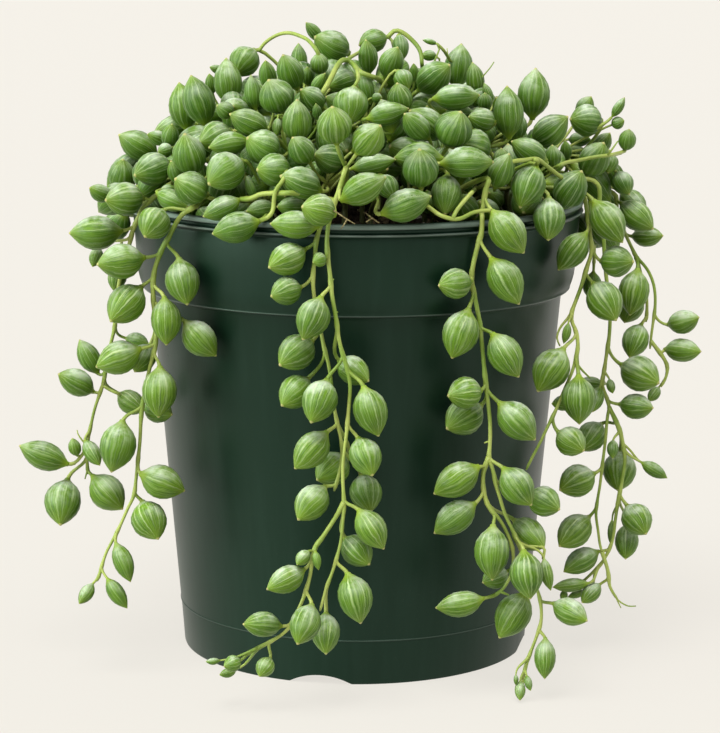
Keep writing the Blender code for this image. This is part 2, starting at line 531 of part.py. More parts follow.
def thinned(route, error):
    """A route without the points that lie within an error of the straight runs between the others."""
    run = route[-1] - route[0]
    share = np.clip((route - route[0]) @ run / (run @ run), 0.0, 1.0)
    off = np.linalg.norm(route[0] + share[:, None] * run - route, axis=1)
    worst = int(off.argmax())
    if off[worst] < error:
        return route[[0, -1]]
    return np.vstack((thinned(route[:worst + 1], error)[:-1], thinned(route[worst:], error)))


def straightened(route, error, step):
    """A thinned route with points at even steps along each of its straight runs."""
    corners = thinned(route, error)
    points = [corners[:1]]
    for start, end in zip(corners, corners[1:]):
        count = max(int(np.ceil(np.linalg.norm(end - start) / step)), 1)
        points.append(start + (end - start) * np.linspace(0.0, 1.0, count + 1)[1:, None])
    return np.vstack(points)


def near_pairs(plant, slack):
    """Numbers of the leaves that lie within a slack of touching, two by two."""
    reach = plant.length * 0.5
    away = np.linalg.norm(plant.middle[:, None] - plant.middle[None], axis=2)
    close = away < reach[:, None] + reach[None] + slack
    return np.argwhere(np.triu(close, 1))


def relax(plant, stem_points, rounds):
    """Move leaves apart, off the stems, the pot and the soil, mostly along the line of sight."""
    home = plant.middle.copy()
    ray = unit(plant.middle - VIEW_PLACE)
    sideways = np.where(plant.seen, 0.30, 1.0)[:, None]
    for step in range(rounds):
        if step % 8 == 0:
            pairs = near_pairs(plant, 4 * MM)
            far = np.linalg.norm(plant.middle[:, None] - stem_points[None], axis=2)
            beside = np.argwhere(far < plant.length[:, None] * 0.5 + 6 * MM)
        centres, radii = plant.spheres()
        push = np.zeros_like(plant.middle)
        a, b = pairs[:, 0], pairs[:, 1]
        away = centres[a][:, :, None, :] - centres[b][:, None, :, :]
        gap = np.sqrt((away ** 2).sum(axis=3)) + 1e-9
        deep = radii[a][:, :, None] + radii[b][:, None, :] + LEAF_GAP - gap
        worst = deep.reshape(len(pairs), -1).argmax(axis=1)
        pick = np.arange(len(pairs))
        depth = deep.reshape(len(pairs), -1)[pick, worst]
        line = (away / gap[..., None]).reshape(len(pairs), -1, 3)[pick, worst]
        depth = np.maximum(depth, 0.0)
        np.add.at(push, a, line * depth[:, None] * 0.5)
        np.add.at(push, b, -line * depth[:, None] * 0.5)
        a, s = beside[:, 0], beside[:, 1]
        away = centres[a] - stem_points[s][:, None, :]
        gap = np.sqrt((away ** 2).sum(axis=2)) + 1e-9
        deep = radii[a] + STEM_RADIUS + LEAF_GAP - gap
        worst = deep.argmax(axis=1)
        pick = np.arange(len(a))
        depth = np.maximum(deep[pick, worst], 0.0)
        line = (away / gap[..., None])[pick, worst]
        np.add.at(push, a, line * depth[:, None] * 0.6)
        flat = centres.reshape(-1, 3)
        off = keep_off_pot(flat, (radii + LEAF_GAP).reshape(-1)).reshape(centres.shape)
        strongest = np.linalg.norm(off, axis=2).argmax(axis=1)
        off = off[np.arange(len(off)), strongest]
        along = (push * ray).sum(axis=1, keepdims=True) * ray
        push = along + (push - along) * sideways + off
        size = np.linalg.norm(push, axis=1, keepdims=True)
        push *= np.minimum(1.0, 1.5 * MM / np.maximum(size, 1e-9))
        plant.middle = plant.middle + push + (home - plant.middle) * 0.01


def still_pressed(plant, stems, owners):
    """Leaves that the moves above could not free; of each pair, the smaller one."""
    centres, radii = plant.spheres()
    points = np.vstack(stems)
    owner = np.concatenate([np.full(len(stem), number) for stem, number in zip(stems, owners)])
    pairs = near_pairs(plant, 2 * MM)
    a, b = pairs[:, 0], pairs[:, 1]
    away = centres[a][:, :, None, :] - centres[b][:, None, :, :]
    gap = np.sqrt((away ** 2).sum(axis=3))
    deep = (radii[a][:, :, None] + radii[b][:, None, :] - gap).reshape(len(pairs), -1).max(axis=1)
    apart = plant.strand[a] != plant.strand[b]
    smaller = np.where(plant.half[a] < plant.half[b], a, b)
    pressed = np.zeros(len(plant.middle), dtype=bool)
    pressed[smaller[(deep > -CLEARANCE) & apart]] = True
    for leaf in range(len(pressed)):
        others = points[owner != plant.strand[leaf]]
        gap = np.linalg.norm(centres[leaf][:, None, :] - others[None, :, :], axis=2).min(axis=1)
        off_pot = keep_off_pot(centres[leaf], radii[leaf])
        if (gap < radii[leaf] + STEM_BODY + CLEARANCE).any() or np.abs(off_pot).max() > MERGE:
            pressed[leaf] = True
    return pressed


def hidden_leaves(plant):
    """Leaves over the part of the mound that faces away from the viewer."""
    draw = np.random.default_rng(HIDDEN_SEED)
    toward = unit(VIEW_PLACE - MOUND_MIDDLE)
    for way in dome_directions(HIDDEN_SPREAD, -0.04):
        surface = MOUND_MIDDLE + way * MOUND_REACH
        normal = unit(way / MOUND_REACH)
        turned, lift, size, sink, slim = draw.random(5)
        facing = normal @ toward
        if facing > CREST_FACING:
            continue
        sink = sink if facing < 0.06 else 0.5 + 0.6 * sink
        side = unit(np.cross(normal, (0.0, 0.0, 1.0)))
        down = np.cross(side, normal)
        down = down if down[2] < 0.0 else -down
        turn = (turned - 0.5) * 2.4
        axis = down * math.cos(turn) + side * math.sin(turn) + normal * (0.15 + 0.55 * lift)
        half = (4.4 + 2.0 * size) * MM
        plant.add(surface - normal * sink * 12 * MM, axis, half, half * 2.0 * (1.5 + 0.4 * slim), -1, False)


def back_leaves(plant, routes, strand, angle):
    """Leaves that alternate down a strand out of sight."""
    turn = math.radians(angle)
    out = np.array((math.cos(turn), math.sin(turn), 0.0))
    side = np.array((-math.sin(turn), math.cos(turn), 0.0))
    high = np.array((0.0, 0.0, 1.0))
    route = routes[0]
    low = (route[:, 2] < POT_HEIGHT) & (np.hypot(route[:, 0], route[:, 1]) > LIP_RADIUS)
    start = int(np.argmax(low)) if low.any() else len(route) - 3
    stride = int(round(BACK_LEAF_STEP / STEM_STEP))
    for k, spot in enumerate(range(start, len(route) - 1, stride)):
        hand = 1.0 if k % 2 else -1.0
        swing = math.sin(3.7 * k + angle)
        axis = side * hand * (0.75 + 0.2 * swing) + out * (0.35 + 0.2 * swing) - high * (0.45 - 0.3 * swing)
        axis = unit(axis)
        half = (3.9 + 0.6 * swing) * MM
        length = half * 2.0 * 1.65
        neck = route[spot] + axis * (STEM_RADIUS + 3.5 * MM)
        plant.add(neck + axis * length / 2, axis, half, length, strand, False)
    tip_axis = unit(route[-1] - route[-3])
    half = 3.6 * MM
    plant.add(route[-1] + tip_axis * (1.5 * MM + half * 1.6), tip_axis, half, half * 3.2, strand, False)


def shoot_routes(plant, first_strand, fixed_roots):
    """Group the mound's leaves round even directions and send one shoot from the soil to each group."""
    loose = np.flatnonzero(plant.strand < 0)
    necks = plant.neck()[loose]
    inward = unit(MOUND_MIDDLE + np.array((0.0, 0.0, 12 * MM)) - necks)
    necks = necks + inward * 5 * MM
    middles = MOUND_MIDDLE + dome_directions(SHOOTS, 0.02) * MOUND_REACH * 0.92
    for _ in range(6):
        group = np.linalg.norm(necks[:, None] - middles[None], axis=2).argmin(axis=1)
        for g in range(SHOOTS):
            if (group == g).any():
                middles[g] = necks[group == g].mean(axis=0)
    used = [g for g in range(SHOOTS) if (group == g).any()]
    ring = np.array([middles[g][:2] for g in used]) * 0.66
    roots = spread_roots(ring, fixed_roots, 8 * MM)
    routes = []
    for n, g in enumerate(used):
        members = necks[group == g]
        plant.strand[loose[group == g]] = first_strand + n
        root = np.array((roots[n][0], roots[n][1], SOIL_TOP))
        goal = middles[g] + unit(MOUND_MIDDLE - middles[g]) * 4 * MM
        rise = root + np.array((0.0, 0.0, 9 * MM))
        reach = np.hypot(goal[0], goal[1])
        knots = [root - np.array((0.0, 0.0, 6 * MM)), root, rise]
        if reach > 73 * MM:
            out = np.array((goal[0], goal[1], 0.0)) / reach
            over = max(goal[2] + 3 * MM, POT_HEIGHT + 9 * MM)
            knots.append(out * 72 * MM + np.array((0.0, 0.0, over)))
        elif goal[2] - rise[2] > 14 * MM:
            middle = rise * 0.5 + goal * 0.5
            bow = np.array((goal[0] - root[0], goal[1] - root[1], 0.0)) * 0.12
            knots.append(middle - bow)
        if np.linalg.norm(goal - knots[-1]) > 4 * MM:
            knots.append(goal)
        far = members[np.linalg.norm(members - goal, axis=1).argmax()]
        ahead = far - knots[-1]
        if np.linalg.norm(ahead) > 9 * MM:
            knots.append(knots[-1] + ahead * 0.72)
        routes.append(resample(np.array(knots), STEM_STEP))
    return routes


def gap_of_line(start, end, points, radii):
    """Clearances of points with radii from a straight run."""
    run = end - start
    share = np.clip(((points - start) @ run) / max(run @ run, 1e-12), 0.0, 1.0)
    return np.linalg.norm(points - (start + share[:, None] * run), axis=1) - radii


def petioles(plant, stems, owners):
    """The shortest clear straight run from each neck to a stem of its own strand."""
    centres, radii = plant.spheres()
    flat = centres.reshape(-1, 3)
    flat_radii = radii.reshape(-1)
    leaf_of = np.repeat(np.arange(len(plant.middle)), len(SPHERE_PLACES))
    points = np.vstack(stems)
    owner = np.concatenate([np.full(len(s), o) for s, o in zip(stems, owners)])
    taken = []
    chosen = np.full((len(plant.middle), 3), np.nan)
    necks = plant.neck()
    nearest = [np.linalg.norm(points[owner == plant.strand[n]] - necks[n], axis=1).min()
               for n in range(len(necks))]
    for n in np.argsort(nearest):
        neck = necks[n]
        own = plant.strand[n]
        body = PETIOLE_RADIUS + 0.35 * MM
        others = plant.strand[leaf_of] != own
        near_leaf = np.linalg.norm(flat - neck, axis=1) < PETIOLE_LONGEST + 10 * MM
        mates = ~others & (leaf_of != n) & near_leaf
        others &= near_leaf
        best = math.inf
        spots = points[owner == own]
        alien = points[owner != own]
        alien = alien[np.linalg.norm(alien - neck, axis=1) < PETIOLE_LONGEST + 6 * MM]
        reach = np.linalg.norm(spots - neck, axis=1)
        for k in np.argsort(reach)[:14]:
            spot = spots[k]
            in_soil = math.hypot(spot[0], spot[1]) < LIP_INSIDE and spot[2] < SOIL_TOP + 3 * MM
            bend = unit(spot - neck) @ plant.axis[n]
            if reach[k] > PETIOLE_LONGEST or in_soil or bend > SHARPEST_BEND:
                continue
            if (gap_of_line(neck, spot, flat[others], flat_radii[others]) < body).any():
                continue
            if (gap_of_line(neck, spot, alien, STEM_RADIUS) < body).any():
                continue
            runs = neck + (spot - neck) * np.linspace(0.0, 1.0, 30)[:, None]
            if (np.linalg.norm(keep_off_pot(runs, body), axis=1) > 1e-6).any():
                continue
            lines = [line for strand, line in taken if strand != own]
            if lines and (gap_of_line(neck, spot, np.vstack(lines), PETIOLE_RADIUS) < body).any():
                continue
            cost = reach[k]
            if mates.any():
                cost += 6 * MM * (gap_of_line(neck, spot, flat[mates], flat_radii[mates]) < 0.0).any()
            cost += 5 * MM * max(bend + 0.2, 0.0)
            if cost < best:
                best = cost
                chosen[n] = spot
        if best < math.inf:
            line = neck + (chosen[n] - neck) * np.linspace(0.0, 1.0, 16)[:, None]
            taken.append((own, line))
    return chosen


def lay_out():
    """Every stem and leaf: the leaves, the stems with their strand numbers, petiole ends and names."""
    plant = Plant()
    names = []
    stems = []
    owners = []
    loose = []
    for number, strand in enumerate(STRANDS):
        routes = trail_routes(strand)
        names.append("strand_" + strand.name)
        stems += routes
        owners += [number] * len(routes)
        loose += [False] * len(routes)
        first = seen(*strand.route[0], strand.depths[0] * MM)
        start = np.linalg.norm(routes[0] - first, axis=1).argmin()
        shown = np.vstack([routes[0][start:]] + routes[1:])
        usual = float(np.median(shown[:, 1]))
        for leaf in strand.leaves:
            probe = seen(leaf.column, leaf.row, usual)
            nearest = np.argmin(np.hypot(shown[:, 0] - probe[0], shown[:, 2] - probe[2]))
            depth = shown[nearest, 1] + (BEHIND_STEM if leaf.layer else -BEFORE_STEM)
            plant.add_seen(leaf, seen(leaf.column, leaf.row, depth), number)
    for leaf in MOUND_LEAVES:
        place = mound_surface(leaf.column, leaf.row)
        place = place + unit(place - VIEW_PLACE) * LAYER_DEPTH * leaf.layer
        plant.add_seen(leaf, place, -1)
    hidden_leaves(plant)
    for angle, drop in BACK_TRAILS:
        routes = back_routes(angle, drop)
        back_leaves(plant, routes, len(names), angle)
        stems += routes
        owners.append(len(names))
        loose.append(True)
        names.append(f"strand_back_{int(angle):03d}")
    plant.close()
    starts = [k for k in range(len(stems)) if k == 0 or owners[k] != owners[k - 1]]
    roots = np.array([stems[k][1][:2] for k in starts])
    first = len(names)
    for route in shoot_routes(plant, first, roots):
        stems.append(route)
        owners.append(len(names))
        loose.append(True)
        names.append(f"shoot_{len(names) - first + 1:02d}")
    stems = part_stems(stems, owners, loose)
    stems = [straightened(route, CHORD_ERROR, STEM_STEP) for route in stems]
    relax(plant, np.vstack(stems), LEAF_ROUNDS)
    pressed = still_pressed(plant, stems, owners)
    ends = petioles(plant, stems, owners)
    return plant, stems, owners, ends, pressed, names


def remove_everything():
    """Empty the scene."""
    for item in list(bpy.data.objects):
        bpy.data.objects.remove(item, do_unlink=True)


def new_collection(name):
    """A collection linked to the scene."""
    collection = bpy.data.collections.new(name)
    bpy.context.scene.collection.children.link(collection)
    return collection


def as_cutter(piece, collection):
    """Move an object into a collection and mark it as one that only cuts."""
    for holder in list(piece.users_collection):
        holder.objects.unlink(piece)
    collection.objects.link(piece)
    piece.hide_render = True
    piece.display_type = "WIRE"


def make_material(name, colour, roughness):
    """A Principled material in one colour."""
    material = bpy.data.materials.new(name)
    material.use_nodes = True
    shader = material.node_tree.nodes["Principled BSDF"]
    shader.inputs["Base Color"].default_value = (*colour, 1.0)
    shader.inputs["Roughness"].default_value = roughness
    shader.inputs["Metallic"].default_value = 0.0
    return material


def turned(name, profile, steps, collection):
    """A closed profile of (radius, height) points turned about the Z axis."""
    mesh = bpy.data.meshes.new(name)
    closed = [(k, (k + 1) % len(profile)) for k in range(len(profile))]
    open_at_axis = profile[0][0] == 0.0
    edges = closed[:-1] if open_at_axis else closed
    mesh.from_pydata([(radius, 0.0, height) for radius, height in profile], edges, [])
    piece = bpy.data.objects.new(name, mesh)
    collection.objects.link(piece)
    screw = piece.modifiers.new("turn", "SCREW")
    screw.steps = steps
    screw.render_steps = steps
    screw.use_merge_vertices = True
    screw.merge_threshold = MERGE
    screw.use_normal_calculate = True
    apply_modifiers(piece)
    outward(piece.data)
    return piece


def outward(mesh):
    """Weld doubles and turn all faces outward."""
    work = bmesh.new()
    work.from_mesh(mesh)
    bmesh.ops.remove_doubles(work, verts=work.verts, dist=MERGE)
    bmesh.ops.recalc_face_normals(work, faces=work.faces)
    work.to_mesh(mesh)
    work.free()


def apply_modifiers(piece):
    """Replace an object's mesh by its evaluated one and drop its modifiers."""
    graph = bpy.context.evaluated_depsgraph_get()
    mesh = bpy.data.meshes.new_from_object(piece.evaluated_get(graph))
    piece.modifiers.clear()
    piece.data = mesh


def tube(name, points, radii, profile, collection):
    """A round solid along points, with a radius at each, made from a curve and its filled caps."""
    curve = bpy.data.curves.new(name, "CURVE")
    curve.dimensions = "3D"
    curve.twist_mode = "MINIMUM"
    curve.bevel_mode = "OBJECT"
    curve.bevel_object = profile
    curve.use_fill_caps = True
    spline = curve.splines.new("POLY")
    spline.points.add(len(points) - 1)
    for knot, place, radius in zip(spline.points, points, radii):
        knot.co = (*place, 1.0)
        knot.radius = radius / MM
    guide = bpy.data.objects.new(name, curve)
    collection.objects.link(guide)
    graph = bpy.context.evaluated_depsgraph_get()
    mesh = bpy.data.meshes.new_from_object(guide.evaluated_get(graph))
    bpy.data.objects.remove(guide, do_unlink=True)
    outward(mesh)
    piece = bpy.data.objects.new(name, mesh)
    collection.objects.link(piece)
    return piece


def ring_profile(name, sides, collection):
    """A cyclic curve of a radius of one millimetre, the section of the tubes."""
    curve = bpy.data.curves.new(name, "CURVE")
    spline = curve.splines.new("POLY")
    spline.points.add(sides - 1)
    for k, knot in enumerate(spline.points):
        angle = 2.0 * math.pi * k / sides
        knot.co = (MM * math.cos(angle), MM * math.sin(angle), 0.0, 1.0)
    spline.use_cyclic_u = True
    guide = bpy.data.objects.new(name, curve)
    collection.objects.link(guide)
    guide.hide_render = True
    return guide


def boolean(piece, operation, cutter=None, cutters=None):
    """Cut an object by another, or join it with a collection's objects, and apply it."""
    change = piece.modifiers.new(operation.lower(), "BOOLEAN")
    change.operation = operation
    change.solver = "EXACT"
    if cutters is None:
        change.object = cutter
    else:
        change.operand_type = "COLLECTION"
        change.collection = cutters
    apply_modifiers(piece)


def build_pot(parts, cutters, finish):
    """The pot: a turned wall with a rolled lip and a stepped band, notched for draining at the foot."""
    inside = BODY_TOP_RADIUS - WALL
    profile = [
        (0.0, 0.0),
        (FOOT_RADIUS - 0.6 * MM, 0.0),
        (FOOT_RADIUS, 0.6 * MM),
        (MOULD_LINE_RADIUS, MOULD_LINE_HEIGHT),
        (BODY_TOP_RADIUS, BAND_BOTTOM - BAND_ROUND),
        (BAND_RADIUS - 0.9 * MM, BAND_BOTTOM - 0.6 * BAND_ROUND),
        (BAND_RADIUS, BAND_BOTTOM),
        (LIP_NECK, LIP_BOTTOM - LIP_STEP),
        (LIP_RADIUS, LIP_BOTTOM),
        (LIP_RADIUS - 0.5 * MM, POT_HEIGHT),
        (INNER_LIP, POT_HEIGHT),
        (BAND_RADIUS - WALL, BAND_BOTTOM + 1.0 * MM),
        (inside, BAND_BOTTOM - BAND_ROUND),
        (FOOT_RADIUS - WALL, FLOOR),
        (0.0, FLOOR),
    ]
    pot = turned("pot", profile, POT_SIDES, parts)
    for k in range(NOTCHES):
        angle = NOTCH_TURN + 2.0 * math.pi * k / NOTCHES
        bpy.ops.mesh.primitive_cylinder_add(vertices=NOTCH_SIDES, radius=NOTCH_ROUND, depth=NOTCH_REACH)
        cutter = bpy.context.object
        cutter.name = f"notch_{k + 1}"
        cutter.rotation_euler = (math.pi / 2.0, 0.0, angle + math.pi / 2.0)
        cutter.location = (FOOT_RADIUS * math.cos(angle), FOOT_RADIUS * math.sin(angle),
                           NOTCH_HEIGHT - NOTCH_ROUND)
        as_cutter(cutter, cutters)
        bpy.context.view_layer.update()
        boolean(pot, "DIFFERENCE", cutter=cutter)
    outward(pot.data)
    pot.data.shade_smooth()
    pot.data.set_sharp_from_angle(angle=math.radians(35.0))
    pot.data.materials.append(finish)
    return pot


def build_soil(parts, cutters, stems, owners, finish):
    """The soil: a plug that keeps clear of the wall, with a plain hole for each stem."""
    gap = CLEARANCE + POT_FACET_GAP
    profile = [
        (0.0, FLOOR + CLEARANCE),
        (FOOT_RADIUS - WALL - 1.5 * MM - gap, FLOOR + CLEARANCE),
        (BODY_TOP_RADIUS - WALL - gap, BAND_BOTTOM - BAND_ROUND),
        (BAND_RADIUS - WALL - gap, BAND_BOTTOM + 1.0 * MM + CLEARANCE),
        (SOIL_RADIUS - 1.0 * MM, SOIL_TOP),
        (0.0, SOIL_TOP),
    ]
    soil = turned("potting_mix", profile, POT_SIDES, parts)
    holes = new_collection("stem_holes")
    holes.hide_render = True
    for k, stem in enumerate(stems):
        if k > 0 and owners[k] == owners[k - 1]:
            continue
        bottom = stem[0][2] - STEM_END_GAP
        bpy.ops.mesh.primitive_cylinder_add(vertices=HOLE_SIDES, radius=HOLE_RADIUS,
                                            depth=SOIL_TOP + HOLE_OVER - bottom)
        hole = bpy.context.object
        hole.name = f"stem_hole_{k + 1:02d}"
        hole.location = (stem[0][0], stem[0][1], (SOIL_TOP + HOLE_OVER + bottom) / 2.0)
        as_cutter(hole, holes)
    bpy.context.view_layer.update()
    boolean(soil, "DIFFERENCE", cutters=holes)
    outward(soil.data)
    soil.data.materials.append(finish)
    for hole in list(holes.objects):
        holes.objects.unlink(hole)
        cutters.objects.link(hole)
    bpy.data.collections.remove(holes)
    return soil


def leaf_knots(neck, axis, half, length, end):
    """Middle line and radii of one leaf with its petiole, from inside the stem to the tip."""
    places = [end, neck]
    radii = [PETIOLE_ROOT, max(PETIOLE_RADIUS, NECK_SHARE * half)]
    blade = BLADE_PLACES if half * 2.0 > PLAIN_LEAF else (sum(BLADE_PLACES) / len(BLADE_PLACES),)
    for place in blade:
        places.append(neck + axis * length * place)
        radii.append(half * BLADE_SHARE)
    places.append(neck + axis * length)
    radii.append(0.0)
    return places, radii


def build_strand(number, name, layout, profiles, parts, finish):
    """One stem with its twigs, petioles and leaves, joined into one solid."""
    plant, stems, owners, ends, pressed, _ = layout
    growth = new_collection(name + "_growth")
    own = [k for k, owner in enumerate(owners) if owner == number]
    routes = [thinned(stems[k], MERGE) for k in own]
    stem = None
    for k, route in zip(own, routes):
        radii = np.full(len(route), STEM_BODY)
        radii[-1] = STEM_BODY * 0.7
        piece = tube(f"{name}_stem_{k}", route, radii, profiles["stem"], growth)
        if stem is None:
            stem = piece
            growth.objects.unlink(stem)
            parts.objects.link(stem)
    necks = plant.neck()
    for leaf in np.flatnonzero(plant.strand == number):
        is_fine = plant.half[leaf] * 2.0 < FINE_LEAF
        if is_fine or pressed[leaf] or math.isnan(ends[leaf][0]):
            continue
        places, radii = leaf_knots(necks[leaf], plant.axis[leaf], plant.half[leaf], plant.length[leaf],
                                   ends[leaf])
        section = "big" if plant.half[leaf] * 2.0 > BIG_LEAF else "small"
        tube(f"{name}_leaf_{leaf}", places, radii, profiles[section], growth)
    bpy.context.view_layer.update()
    boolean(stem, "UNION", cutters=growth)
    outward(stem.data)
    for piece in list(growth.objects):
        bpy.data.objects.remove(piece, do_unlink=True)
    bpy.data.collections.remove(growth)
    stem.name = name
    stem.data.name = name
    stem.data.materials.clear()
    stem.data.materials.append(finish)
    return stem


def main():
    """Build every node of the object."""
    remove_everything()
    parts = new_collection("potted_string_of_raindrops")
    cutters = new_collection("cutters")
    layout = lay_out()
    _, stems, owners, _, _, names = layout
    build_pot(parts, cutters, make_material("pot_green", POT_COLOUR, 0.42))
    build_soil(parts, cutters, stems, owners, make_material("peat", SOIL_COLOUR, 0.95))
    profiles = {
        "stem": ring_profile("stem_section", STEM_SIDES, cutters),
        "small": ring_profile("small_leaf_section", SMALL_LEAF_SIDES, cutters),
        "big": ring_profile("big_leaf_section", BIG_LEAF_SIDES, cutters),
    }
    for number, name in enumerate(names):
        shade = 0.85 + 0.3 * ((number * 5) % 7) / 6.0
        colour = tuple(value * shade for value in LEAF_COLOUR)
        build_strand(number, name, layout, profiles, parts, make_material(name + "_green", colour, 0.38))
    for guide in profiles.values():
        bpy.data.objects.remove(guide, do_unlink=True)


main()
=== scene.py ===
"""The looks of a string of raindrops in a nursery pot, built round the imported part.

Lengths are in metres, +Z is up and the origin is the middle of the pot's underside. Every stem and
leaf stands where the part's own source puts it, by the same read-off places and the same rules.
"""

import itertools
import logging
import math
from dataclasses import dataclass, field
from enum import Enum
from typing import NamedTuple

import bpy
import numpy as np
from mathutils import Matrix, Vector, noise


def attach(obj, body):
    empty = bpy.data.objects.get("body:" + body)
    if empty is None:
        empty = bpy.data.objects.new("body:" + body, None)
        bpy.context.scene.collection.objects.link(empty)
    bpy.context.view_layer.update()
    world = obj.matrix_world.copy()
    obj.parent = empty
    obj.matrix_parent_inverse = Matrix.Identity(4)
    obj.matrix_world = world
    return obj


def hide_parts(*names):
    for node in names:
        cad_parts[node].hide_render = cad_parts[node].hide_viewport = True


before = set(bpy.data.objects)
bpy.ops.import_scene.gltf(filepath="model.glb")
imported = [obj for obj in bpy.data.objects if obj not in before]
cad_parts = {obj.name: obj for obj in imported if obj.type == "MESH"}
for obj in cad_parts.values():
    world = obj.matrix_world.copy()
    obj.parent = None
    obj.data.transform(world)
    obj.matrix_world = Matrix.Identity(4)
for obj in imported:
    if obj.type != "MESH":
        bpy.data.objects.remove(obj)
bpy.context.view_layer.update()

LOG = logging.getLogger("raindrops")
MM = 0.001
GOLDEN_ANGLE = math.pi * (3.0 - math.sqrt(5.0))
UP = np.array((0.0, 0.0, 1.0))
Array = np.ndarray
Piece = bpy.types.Object
Socket = bpy.types.NodeSocket


class Slot(Enum):
    """The record's material slots."""

    POT = "pot"
    SOIL = "soil"
    FOLIAGE = "foliage"


class Leaf(NamedTuple):
    """A leaf as seen: its middle, which way its tip points, how wide and long it looks, its layer."""

    column: float
    row: float
    heading: float
    width: float
    length: float
    layer: int = 0


class Strand(NamedTuple):
    """A trailing stem as seen: its root in the soil, its route, depths along it, and its leaves."""

    name: str
    root: tuple
    route: tuple
    depths: tuple
    twigs: tuple
    leaves: tuple


